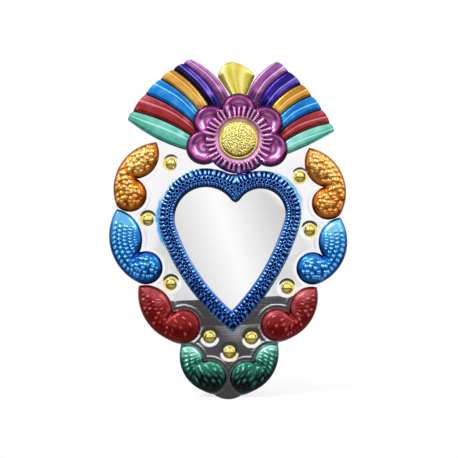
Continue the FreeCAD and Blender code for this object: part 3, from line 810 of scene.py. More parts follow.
    def sheet(self, u: Array, v: Array) -> Sheet:
        """Form of the leaf, ruled between its rim and its inner outline.

        Args:
            u: Shares of the way along the leaf.
            v: Shares of the way in from its rim.

        Returns:
            Plan, height over the plate, and depth of lacquer with painted shade towards the foot.
        """
        rim, top, end = self.arcs()
        split = round(self.grid[0] * top.length() / (top.length() + end.length())) / self.grid[0]
        first, turn = rim.sweep()
        centre_x, centre_z, _ = rim.circle()
        notch_turn = math.atan2(self.notch[1] - centre_z, self.notch[0] - centre_x) - first
        facing = abs((notch_turn + math.pi) % math.tau - math.pi) / abs(turn)
        early = u <= split + 1e-9
        part = np.where(early, u / split, (u - split) / (1 - split))
        rim_x, rim_z = rim.points(np.where(early, part * facing, facing + part * (1 - facing)))
        top_x, top_z = top.points(np.clip(u / split, 0, 1))
        end_x, end_z = end.points(np.clip((u - split) / (1 - split), 0, 1))
        across = crowd(v)
        x = rim_x + (np.where(early, top_x, end_x) - rim_x) * across
        z = rim_z + (np.where(early, top_z, end_z) - rim_z) * across
        edge = np.clip(np.minimum(*self.away(x, z)), 0, None)
        lift, bright = self.filling(x, z)
        fold = self.crease(x, z)
        puff = 0.72 * shoulder(edge, self.roll) + 0.28 * ease(0, 11, edge)
        height = self.height * puff * (1 - 0.3 * fold) + lift * (1 - fold)
        # Painted shade: the third pool draws the lacquer deeper towards the leaf's foot and paler
        # towards its top.
        low, high, fall = self.pools
        shade = np.clip((self.notch[1] - z) / (self.tip[1] - self.heel[1]), -0.5, 0.5)
        pool = high - (high - low) * bright + 0.4 * (1 - ease(0.4, 2.4, edge)) + 0.25 * fold
        return x, z, height, pool + fall * shade

    def build(self) -> None:
        """Press the leaf."""
        label = f"{self.side.name.lower()}_{self.tint}"
        press(f"leaf_{label}", self.grid, self.sheet, f"lobe_{label}", f"lobe_{self.tint}")


@dataclass
class Border:
    """Eight leaves along the rim, four on each side, from the top to the foot."""

    tints: tuple[str, ...] = ("orange", "blue", "red", "green")
    rim_bows: tuple[float, ...] = (13.8, 12.6, 11.0, 10.2)
    end_bows: tuple[float, ...] = (15.4, 17.3, 17.6, 13.0)
    top_bows: tuple[float, ...] = (8.0, 8.7, 7.6, 5.5)
    # Lacquer on marks and between them, and the painted shade from top to foot, for each leaf.
    pools: tuple[tuple[Triple, ...], ...] = (
        ((0.0, 0.59, 0.4), (0.0, 0.66, 0.5), (0.0, 0.52, 0.3), (0.0, 0.56, 1.4)),
        ((0.0, 0.52, 0.4), (0.0, 0.57, 0.5), (0.0, 0.5, 0.3), (0.0, 0.62, 1.4)),
    )
    rims: tuple[tuple[Point, ...], ...] = (
        ((-53.2, 80.3), (-82.5, 31.2), (-66.3, -25.1), (-35.4, -69.4), (-10.8, -106.2)),
        ((58.8, 76.2), (81.8, 25.0), (64.5, -26.2), (36.0, -68.1), (8.9, -106.8)),
    )
    notches: tuple[tuple[Point, ...], ...] = (
        ((-67.7, 52.2), (-65.5, -1.6), (-40.9, -45.4), (-18.5, -81.4)),
        ((69.4, 46.1), (68.7, -4.0), (44.2, -46.4), (18.2, -81.8)),
    )

    def lobes(self) -> list[Lobe]:
        """Draw the eight leaves.

        Returns:
            The leaves, left before right.
        """
        found = []
        for side in Side:
            rim, notches, pools = (pair[side.pick] for pair in (self.rims, self.notches, self.pools))
            for i, (tint, chasing) in enumerate(zip(self.tints, Chasing)):
                bows = self.rim_bows[i], self.end_bows[i], self.top_bows[i]
                found.append(Lobe(side, tint, chasing, rim[i], rim[i + 1], notches[i], *bows, pools[i]))
        return found

    def build(self) -> None:
        """Press every leaf."""
        for lobe in self.lobes():
            lobe.build()


@dataclass(frozen=True)
class HalfHeart:
    """One half of the heart window: a lobe circle and a longer flank circle."""

    x: float
    z: float
    radius: float
    flank_radius: float
    turn: float


@dataclass
class Heart:
    """Heart window and the outlines parallel to it."""

    left: HalfHeart = HalfHeart(-16.9, 23.2, 22.9, 142.0, 19.2)
    right: HalfHeart = HalfHeart(23.2, 26.9, 18.1, 158.0, 16.1)
    cleft_round: float = 4.6
    nose_share: float = 0.012
    nose_point: float = 0.16
    cleft_x: float = 6.0

    def circles(self, half: HalfHeart, sense: int, margin: float) -> tuple[tuple[float, ...], ...]:
        """Circles of a half, turned to look like the left.

        Args:
            half: The half.
            sense: Turning sense of its side.
            margin: Growth outside the window.

        Returns:
            Lobe and flank circles as centre and radius.
        """
        span = half.flank_radius - half.radius
        angle = math.radians(half.turn)
        x = half.x * sense
        flank = (x + span * math.cos(angle), half.z + span * math.sin(angle))
        return (x, half.z, half.radius + margin), (*flank, half.flank_radius + margin)

    @staticmethod
    def crossing(one: tuple[float, ...], two: tuple[float, ...], upper: bool) -> Point:
        """Find a crossing of two circles.

        Args:
            one: First circle.
            two: Second circle.
            upper: Whether the upper crossing is wanted, or the lower.

        Returns:
            The crossing.
        """
        (x0, z0, r0), (x1, z1, r1) = one, two
        gap = math.hypot(x1 - x0, z1 - z0)
        along = (r0**2 - r1**2 + gap**2) / (2 * gap)
        off = math.sqrt(r0**2 - along**2)
        ux, uz = (x1 - x0) / gap, (z1 - z0) / gap
        spots = [(x0 + along * ux - s * off * uz, z0 + along * uz + s * off * ux) for s in (1, -1)]
        return sorted(spots, key=lambda spot: spot[1])[1 if upper else 0]

    def run(self, side: Side, margin: float, share: Array, middle: float) -> tuple[Array, Array, Array]:
        """Half an outline, from the cleft to the point.

        Args:
            side: Half of the heart.
            margin: Distance outside the window.
            share: Shares of the way along.
            middle: Margin at which the way along is measured.

        Returns:
            Plan coordinates and the way along from where lobe and flank meet.
        """
        sense = side.value
        own, other = (self.left, self.right) if side is Side.LEFT else (self.right, self.left)
        lobe, flank = self.circles(own, sense, margin)
        far_lobe, far_flank = (
            (-circle[0], *circle[1:]) for circle in self.circles(other, -sense, margin)
        )
        swell = max(self.cleft_round - margin, 0.0)
        grown, far_grown = ((*circle[:2], circle[2] + swell) for circle in (lobe, far_lobe))
        cleft = self.crossing(grown, far_grown, True)
        tip = self.crossing(flank, far_flank, False)
        near = math.atan2(lobe[1] - cleft[1], lobe[0] - cleft[0]) % math.tau
        far = math.atan2(far_lobe[1] - cleft[1], far_lobe[0] - cleft[0]) % math.tau
        nose_part = np.clip(share / self.nose_share, 0, 1)
        nose = (near + far) / 2 + (near - (near + far) / 2) * nose_part
        start = math.atan2(cleft[1] - lobe[1], cleft[0] - lobe[0])
        joint = math.pi + math.radians(own.turn)
        end = math.atan2(tip[1] - flank[1], tip[0] - flank[0]) % math.tau
        lobe_run = (own.radius + middle) * (joint - start)
        flank_run = (own.flank_radius + middle) * (end - joint)
        break_share = self.nose_share + (1 - self.nose_share) * lobe_run / (lobe_run + flank_run)
        lobe_part = np.clip((share - self.nose_share) / (break_share - self.nose_share), 0, 1)
        flank_part = np.clip((share - break_share) / (1 - break_share), 0, 1)
        angle = start + (joint - start) * lobe_part
        slant = joint + (end - joint) * flank_part
        on_nose = share < self.nose_share
        on_lobe = share <= break_share
        x = np.where(on_lobe, lobe[0] + lobe[2] * np.cos(angle), flank[0] + flank[2] * np.cos(slant))
        z = np.where(on_lobe, lobe[1] + lobe[2] * np.sin(angle), flank[1] + flank[2] * np.sin(slant))
        reach = swell * (1 + self.nose_point * (1 - nose_part) ** 2)
        x = np.where(on_nose, cleft[0] + reach * np.cos(nose), x)
        z = np.where(on_nose, cleft[1] + reach * np.sin(nose), z)
        along = np.where(
            on_lobe,
            (own.radius + middle) * (angle - joint),
            (own.flank_radius + middle) * (slant - joint),
        )
        return x * sense, z, along

    def margin(self, x: Array, z: Array) -> Array:
        """Distance of points outside the window, near enough for the plate's relief.

        Args:
            x: First plan coordinates.
            z: Second plan coordinates.

        Returns:
            One distance for each point.
        """
        best = np.full(x.shape, FAR)
        for side, half in ((Side.LEFT, self.left), (Side.RIGHT, self.right)):
            lobe, flank = self.circles(half, side.value, 0)
            own_x = x * side.value
            round_off = np.hypot(own_x - lobe[0], z - lobe[1]) - lobe[2]
            flank_off = np.hypot(own_x - flank[0], z - flank[1]) - flank[2]
            angle = math.radians(half.turn)
            below = (z - lobe[1]) * math.cos(angle) - (own_x - lobe[0]) * math.sin(angle) < 0
            own = np.where(below & (own_x < flank[0]), flank_off, round_off)
            best = np.where(own_x < self.cleft_x, np.minimum(best, own), best)
        return best


@dataclass
class Bezel:
    """Raised frame round the glass: beaded shoulders and a channel of ring punches."""

    heart: Heart = field(default_factory=Heart)
    width: float = 12.0
    height: float = 5.0
    outer_slope: float = 4.2
    inner_slope: float = 3.4
    outer_pitch: float = 2.9
    inner_pitch: float = 2.4
    punch_pitch: float = 3.1
    punch_middle: float = 5.6
    punch_ring: float = 1.15
    punch_hole: float = 0.64
    widening: float = 0.0038
    swells: tuple[float, float] = (2.0, 1.3)
    cleft_x: float = 5.5
    cleft_fill: float = 3.0
    # Painted shade towards the foot.
    painted_foot_shade: float = 0.2
    lip: Point = (0.9, 1.7)
    # Painted shadow line along the glass.
    painted_lip_shadow: Point = (0.3, 0.8)
    channel_start: Point = (3.2, 3.9)
    channel_end: Point = (7.0, 7.8)
    plain_band: Point = (10.0, 11.0)
    teeth_end: float = 11.2
    grid: tuple[int, int] = (1240, 66)

    def relief(self, margin: Array, along: Array) -> tuple[Array, Array]:
        """Height of the teeth and punches, and the lacquer that they hold, with painted highlight and
        painted shade.

        Args:
            margin: Distances outside the window.
            along: Ways along the frame; the marks stand further apart towards the point.

        Returns:
            Height over the plain frame, and thickness of the lacquer with painted highlight and painted
            shade.
        """
        waver = 0.12 * np.sin(along * 0.9) + 0.1 * np.sin(along * 0.37 + 1)
        flank = np.log1p(self.widening * np.clip(along, 0, None)) / self.widening
        along = np.where(along < 0, along, flank)
        outer = np.abs(np.sin(math.pi * (along / self.outer_pitch + waver)))
        inner = np.abs(np.sin(math.pi * (along / self.inner_pitch - waver)))
        step = to_mark(along / self.punch_pitch + waver * 0.4)
        ring = np.hypot(step * self.punch_pitch, 0.9 * (margin - self.punch_middle))
        brim, hole = hump(ring - self.punch_ring, 0.35), hump(ring, self.punch_hole)
        on_outer = ease(*self.channel_end, margin)
        on_inner = 1 - ease(*self.channel_start, margin)
        lip = 1 - ease(*self.lip, margin)
        channel = 1 - on_outer - on_inner
        tooth = (outer - 0.66) * on_outer * (1 - ease(self.teeth_end, self.width, margin))
        tick = (inner - 0.66) * on_inner * (1 - lip)
        lift = 1.1 * tooth + 0.6 * tick + channel * (0.6 * brim - 0.9 * hole - 0.7)
        plain = ease(*self.plain_band, margin)
        # Pale on teeth and ring brims, dark in gaps and holes: lacquer pooling, pushed further as
        # painted highlight and painted shade.
        pool = on_outer * (plain * 0.14 + (1 - plain) * (1.08 - outer**2)) + channel * (1.1 - brim)
        # Painted shadow: a dark line along the edge of the glass.
        edge = 1 - ease(*self.painted_lip_shadow, margin)
        pool = pool + on_inner * (lip * (0.35 + 0.6 * edge) + (1 - lip) * (0.88 - 0.85 * inner**1.8))
        return lift, pool

    def sheet(self, u: Array, v: Array) -> Sheet:
        """Form of the frame.

        Args:
            u: Shares of the way round, from the cleft.
            v: Shares of the way out from the window.

        Returns:
            Plan, height over the plate, and depth of lacquer with painted shade and highlight.
        """
        x, z, along, margin = (np.zeros_like(u) for _ in range(4))
        rows = self.grid[1]
        row = np.rint(v * rows).astype(int)
        halves = {Side.LEFT: u <= 0.5, Side.RIGHT: u > 0.5}
        share = np.where(halves[Side.LEFT], 2 * u, 2 - 2 * u)
        for index, reach in enumerate(self.width * crowd(np.linspace(0, 1, rows + 1))):
            for side, own in halves.items():
                at = own & (row == index)
                x[at], z[at], along[at] = self.heart.run(side, reach, share[at], self.punch_middle)
                margin[at] = reach
        out = margin / self.width
        for half, side in ((self.heart.left, Side.LEFT), (self.heart.right, Side.RIGHT)):
            way_x, way_z = x - half.x, z - half.z
            far = np.hypot(way_x, way_z)
            grow = self.swells[side.pick] * out * ease(0.3, 0.95, way_z / far) * halves[side]
            x, z = x + grow * way_x / far, z + grow * way_z / far
        z = z + self.cleft_fill * hump(x - self.cleft_x, 3.5) * out**2 * (z > 30)
        outer = np.clip((margin - self.width + self.outer_slope) / self.outer_slope, 0, 1)
        inner = np.clip((self.inner_slope - margin) / self.inner_slope, 0, 1)
        height = self.height * np.sqrt(np.clip(1 - outer**2 - inner**2, 0, 1))
        lift, pool = self.relief(margin, along)
        nose = self.heart.nose_share
        lift = lift * ease(nose, 2.5 * nose, share) * (1 - ease(0.99, 1.0, share))
        # Painted shade on the inner lip near the top of the window.
        pool = pool + 0.5 * (1 - ease(1.4, 2.2, margin)) * ease(20, 36, z)
        # Painted shade: the frame is drawn darker towards the foot.
        pool = pool + self.painted_foot_shade * (1 - ease(-45, 10, z))
        return x, z, np.clip(height + lift, 0, None), pool

    def build(self) -> None:
        """Press the frame."""
        press("beaded_bezel", self.grid, self.sheet, "heart_bezel", "bezel_blue", rims=2)


@dataclass
class Flower:
    """Five petals with rolled rims round a fluted ruff, and a stippled button."""

    x: float = 7.0
    z: float = 80.9
    petal_angles: tuple[float, ...] = (191.7, 148.0, 90.0, 31.5, -16.5)
    petal_rings: tuple[float, ...] = (26.2, 24.2, 21.2, 23.0, 24.2)
    petal: float = 13.1
    roll: float = 3.6
    rim_height: float = 6.2
    edge_height: float = 0.9
    dish_height: float = 4.3
    dish_slope: float = 4.6
    ruff: float = 25.0
    flutes: int = 36
    flute_root: float = 18.4
    flute_end: float = 23.4
    flute_height: float = 1.7
    grid: tuple[int, int] = (720, 116)
    button: float = 14.2
    button_dome: float = 13.4
    button_rim: float = 13.6
    button_base: float = 4.4
    button_rise: float = 3.0
    grain_pitch: float = 1.25
    grain_size: float = 0.68
    grain_height: float = 0.42
    grain_seed: int = 5
    button_grid: tuple[int, int] = (300, 56)

    def reach(self, angle: Array) -> Array:
        """Outline of petals and ruff as seen from the middle.

        Args:
            angle: Directions in radians.

        Returns:
            Distance of the outline in each direction.
        """
        far = np.full(angle.shape, self.ruff)
        for degrees, ring in zip(self.petal_angles, self.petal_rings):
            off = angle - math.radians(degrees)
            across = ring * np.sin(off)
            root = np.sqrt(np.clip(self.petal**2 - across**2, 0, None))
            hit = (np.abs(across) < self.petal) & (np.cos(off) > 0)
            far = np.where(hit, np.maximum(far, ring * np.cos(off) + root), far)
        return far

    def petal_height(self, x: Array, z: Array) -> tuple[Array, Array, Array]:
        """Height of the rolled rims and dishes.

        Args:
            x: First coordinates from the flower's middle.
            z: Second coordinates from the flower's middle.

        Returns:
            Height, the way from the nearest petal's middle and how far down that way goes.
        """
        turns = np.radians(self.petal_angles)
        rings = np.array(self.petal_rings)
        mid_x, mid_z = rings * np.cos(turns), rings * np.sin(turns)
        ways = np.hypot(x[:, None] - mid_x, z[:, None] - mid_z)
        off = ways.min(axis=1)
        down = (mid_z[ways.argmin(axis=1)] - z) / np.maximum(off, 1.0)
        crown = self.petal - self.roll
        out = np.clip((off - crown) / self.roll, 0, 1)
        outer = self.edge_height + (self.rim_height - self.edge_height) * np.sqrt(1 - out**2)
        fall = ease(crown - self.dish_slope, crown, off)
        inner = self.dish_height + (self.rim_height - self.dish_height) * fall
        return np.where(off > crown, outer, inner), off, down

    def ruff_height(self, radius: Array, angle: Array) -> tuple[Array, Array]:
        """Height of the ruff.

        Args:
            radius: Distances from the flower's middle.
            angle: Directions from it.

        Returns:
            Height of the floor, and the share of each hand-set tongue on it.
        """
        swing = angle + 0.022 * np.sin(5 * angle) + 0.016 * np.sin(11 * angle + 1)
        tongue = (0.5 + 0.5 * np.cos(self.flutes * swing + 0.05 * (radius - 20))) ** 0.9
        end = self.flute_end + 1.1 * ease(self.ruff, self.ruff + 5, self.reach(angle))
        end = end + 0.7 * np.sin(7 * angle) + 0.6 * np.sin(17 * angle + 2)
        window = ease(self.flute_root - 1.8, self.flute_root, radius)
        window = window * (1 - ease(end - 1.2, end + 1.0, radius))
        floor = 2.2 + 1.9 * np.sin(math.pi * np.clip((radius - 12) / 14, 0, 1))
        return floor, tongue * window

    def petal_sheet(self, u: Array, v: Array) -> Sheet:
        """Form of petals and ruff in one sheet.

        Args:
            u: Shares of the way round.
            v: Shares of the way out.

        Returns:
            Plan, height over the plate, and depth of lacquer with painted highlights.
        """
        angle = u * math.tau
        reach = self.reach(angle)
        radius = reach * v
        x, z = radius * np.cos(angle), radius * np.sin(angle)
        petals, off, down = self.petal_height(x, z)
        floor, tongue = self.ruff_height(radius, angle)
        outside = ease(19.0, 25.2, radius)
        rolled = floor * np.sqrt(np.clip(1 - v**12, 0, 1))
        joined = floor * (1 - outside) + petals * outside
        height = np.where(reach < self.ruff + 0.6, rolled, joined) + self.flute_height * tongue
        # Painted highlights: a crescent inside each dish, stronger on its lower side, and a pale spot
        # near the dish's middle.
        painted_crescent = hump(off - 6.2, 1.2) * ease(25.0, 27.5, radius) * (0.5 + 0.5 * ease(-0.5, 0.5, down))
        leaf = 0.77 - 0.22 * ease(6.5, 8.5, off) + 0.5 * ease(9.4, 12.0, off) - 0.95 * painted_crescent
        leaf = leaf - 0.5 * hump(off - 2.0, 1.4)
        gaps = 0.24 + 0.66 * ease(self.flute_root - 1.6, self.flute_root, radius)
        pool = gaps + (leaf - gaps) * ease(24.0, 26.4, radius) - 0.95 * tongue
        return self.x + x, self.z + z, height, pool

    def button_sheet(self, u: Array, v: Array) -> Sheet:
        """Form of the stippled button with its thin rim.

        Args:
            u: Shares of the way round.
            v: Shares of the way out.

        Returns:
            Plan, height over the plate, and depth of lacquer with painted shade.
        """
        angle = u * math.tau
        radius = self.button * v
        x, z = radius * np.cos(angle), radius * np.sin(angle)
        spots = scatter((-14, -14), (14, 14), self.grain_pitch, self.grain_seed)
        grain = bead(nearest(x, z, spots), self.grain_size) * (1 - ease(12.2, 12.8, radius))
        dome = self.button_rise * np.sqrt(bead(radius, self.button_dome)) ** 1.2
        rim = 0.9 * hump(radius - self.button_rim, 0.45)
        height = self.button_base + dome + rim + self.grain_height * grain
        pool = 0.66 - 0.72 * grain - 0.5 * hump(radius - self.button_rim, 0.5)
        # Painted shade: a dark crescent inside the rim on the lower side.
        pool = pool + 0.9 * hump(radius - 12.1, 0.8) * ease(2.0, 9.0, -z)
        return self.x + x, self.z + z, height, pool

    def build(self) -> None:
        """Press the flower's two pieces."""
        press("petals_and_ruff", self.grid, self.petal_sheet, "flower_petals", "magenta")
        press("stippled_button", self.button_grid, self.button_sheet, "flower_centre", "gold")


@dataclass
class Fans:
    """Two fans of six ridged feathers and the crest between them; pairs are left and right."""

    x: float = 7.0
    z: float = 80.9
    tints: tuple[str, ...] = ("purple", "indigo", "amber", "azure", "scarlet", "emerald")
    starts: tuple[float, float] = (120.2, 64.2)
    spreads: tuple[tuple[float, ...], ...] = (
        (5.5, 7.1, 9.3, 11.8, 11.0, 5.2), (10.3, 12.3, 10.6, 11.1, 9.6, 5.5),
    )
    near_radii: tuple[float, float] = (67.8, 63.6)
    far_radii: tuple[float, float] = (82.2, 70.1)
    dips: tuple[float, float] = (2.0, 5.2)
    under_bows: tuple[float, float] = (4.0, 1.4)
    root_starts: tuple[float, float] = (101.0, 79.5)
    root_spreads: tuple[float, float] = (17.2, 19.5)
    root: float = 26.4
    gap: float = 0.06
    droop: float = 3.3
    top_bow: float = 4.8
    tip_bow: float = 1.0
    edge_height: float = 1.2
    ridge_height: float = 2.8
    ridges: tuple[float, float] = (0.4, 0.56)
    pools: tuple[float, ...] = (0.5, 0.46, 0.5, 0.52, 0.5, 0.46)
    # Painted shade on one flank of each feather, for the left and the right fan.
    painted_flank_shades: tuple[tuple[float, ...], ...] = (
        (0.08, 0.6, -0.1, -0.06, 0.06, 0.1), (0.2, 0.26, 0.12, 0.06, 0.1, -0.06),
    )
    grid: tuple[int, int] = (96, 72)
    crest_top: Point = (94.5, 57.3)
    crest_sides: tuple[float, float] = (108.2, 75.8)
    crest_side: float = 48.5
    crest_feet: tuple[float, float] = (98.5, 80.8)
    crest_foot: float = 31.0
    crest_bows: Triple = (-3.0, -1.9, -0.5)
    crest_grid: tuple[int, int] = (60, 80)

    def spot(self, angle: float, radius: float) -> Point:
        """Point at an angle and distance from the flower's middle."""
        turn = math.radians(angle)
        return self.x + radius * math.cos(turn), self.z + radius * math.sin(turn)

    def line(self, side: Side, index: int) -> Triple:
        """Place a line between feathers.

        Args:
            side: Side of the fan.
            index: Number of the line, from the middle.

        Returns:
            Outer angle and radius, and root angle.
        """
        pick = side.pick
        done = sum(self.spreads[pick][:index])
        part = done / sum(self.spreads[pick])
        radius = self.near_radii[pick] + (self.far_radii[pick] - self.near_radii[pick]) * part
        radius -= self.dips[pick] * 4 * part * (1 - part)
        root = self.root_starts[pick] + side.value * index * self.root_spreads[pick]
        return self.starts[pick] + side.value * done, radius, root

    def edges(self, side: Side, index: int) -> tuple[Bow, Bow]:
        """Draw the two long edges of a feather, from the root outwards.

        Args:
            side: Side of the fan.
            index: Number of the feather, from the middle.

        Returns:
            Upper and lower edge.
        """
        sense = side.value
        half = math.degrees(self.gap / 2) * sense
        first, first_r, first_root = self.line(side, index)
        last, last_r, last_root = self.line(side, index + 1)
        near = self.spot(first_root + half / self.root, self.root)
        far = self.spot(last_root - half / self.root, self.root)
        near_out = self.spot(first + half / first_r, first_r)
        far_out = self.spot(last - half / last_r, last_r)
        under = sense * self.droop
        if index == len(self.tints) - 1:
            under = -sense * self.under_bows[side.pick]
        over = sense * (self.droop if index > 0 else self.top_bow)
        return Bow(near, near_out, over), Bow(far, far_out, under)

    def feather_sheet(self, side: Side, index: int, u: Array, v: Array) -> Sheet:
        """Form of one feather, flat on top, with a crisp ridge along its middle.

        Args:
            side: Side of the fan.
            index: Number of the feather, from the middle.
            u: Shares of the way from the root.
            v: Shares of the way down across the feather.

        Returns:
            Plan, height over the plate, and depth of lacquer with painted highlights and painted shade.
        """
        upper, lower = self.edges(side, index)
        across = crowd(v)
        x0, z0 = upper.points(u)
        x1, z1 = lower.points(u)
        x, z = x0 + (x1 - x0) * across, z0 + (z1 - z0) * across
        bulge = self.tip_bow * 4 * across * (1 - across) * ease(0.75, 1, u)
        far = np.hypot(x - self.x, z - self.z)
        x, z = x + (x - self.x) / far * bulge, z + (z - self.z) / far * bulge
        wave = self.ridges[side.pick] + 0.06 * np.sin(2.6 * u + 0.9 * index) + 0.02 * np.sin(9 * u)
        off = across - wave
        root = ease(0.0, 0.35, u)
        fade = 1 - 0.25 * ease(0.93, 1.0, u)
        rise = 1 - np.abs(2 * across - 1) ** 8
        tall = self.edge_height + (self.ridge_height - self.edge_height) * rise * fade
        height = tall * (0.45 + 0.55 * root) + 0.15 * np.clip(1 - np.abs(off) / 0.4, 0, 1) * fade * root
        drift = 0.08 * np.sin(4.5 * u + 1.7 * index) + 0.06 * np.sin(8 * across + 5 * u + index)
        # Painted light: a pale ridge line, a pale line by the upper edge and a flare near the root as
        # painted highlights; a darker line beside the ridge, the lower edge and one flank deepened as
        # painted shade.
        painted_flare = hump(u - 0.32, 0.06) * hump(off + 0.12, 0.16)
        pool = self.pools[index] + 0.4 * ease(0.88, 0.99, across) + 0.2 * (1 - ease(0.0, 0.03, across))
        pool = pool - 0.45 * hump(across - 0.06, 0.025) * root - 0.75 * hump(off, 0.034) * root
        pool = pool - 0.35 * painted_flare + drift + 0.14 * hump(off + 0.1, 0.05)
        pool = pool + self.painted_flank_shades[side.pick][index] * ease(0.02, 0.12, side.value * off)
        return x, z, height, pool

    def crest_sheet(self, u: Array, v: Array) -> Sheet:
        """Form of the fluted crest over the flower.

        Args:
            u: Shares of the way up.
            v: Shares of the way across.

        Returns:
            Plan, height over the plate, and depth of lacquer with painted highlights.
        """
        left, right = (self.spot(angle, self.crest_side) for angle in self.crest_sides)
        top = self.spot(*self.crest_top)
        left_bow, right_bow, foot_bow = self.crest_bows
        foot = Bow(*(self.spot(angle, self.crest_foot) for angle in self.crest_feet), foot_bow)
        x0, z0 = foot.points(v)
        x1, z1 = Bow(left, top, left_bow).points(np.clip(2 * v, 0, 1))
        x2, z2 = Bow(top, right, right_bow).points(np.clip(2 * v - 1, 0, 1))
        x1, z1 = np.where(v < 0.5, x1, x2), np.where(v < 0.5, z1, z2)
        way = 1 - (1 - u) ** 1.3
        x, z = x0 + (x1 - x0) * way, z0 + (z1 - z0) * way
        edge = np.minimum(np.minimum(v, 1 - v) * 24, (1 - way) * 26)
        bend = v + 0.05 * np.sin(3 * way + 0.5)
        flute = hump(bend - 0.22, 0.09) + 0.8 * hump(bend - 0.74, 0.1) + 0.5 * hump(bend - 0.5, 0.05)
        height = 0.7 + 2.1 * shoulder(edge, 6.0) * (0.6 + 0.4 * way) + 0.5 * flute * ease(0.5, 4, edge)
        # Paler along the flutes: thin lacquer on them, drawn further as painted highlight.
        return x, z, height, 0.6 - 0.7 * flute + 0.4 * (1 - ease(0.0, 1.0, edge))

    def build(self) -> None:
        """Press both fans and the crest."""
        for side in Side:
            for index, tint in enumerate(self.tints):
                label = f"{side.name.lower()}_{tint}"
                form = partial(self.feather_sheet, side, index)
                press(f"plume_{label}", self.grid, form, f"feather_{label}", f"feather_{tint}")
        press("fluted_crest", self.crest_grid, self.crest_sheet, "feather_crest", "yellow")


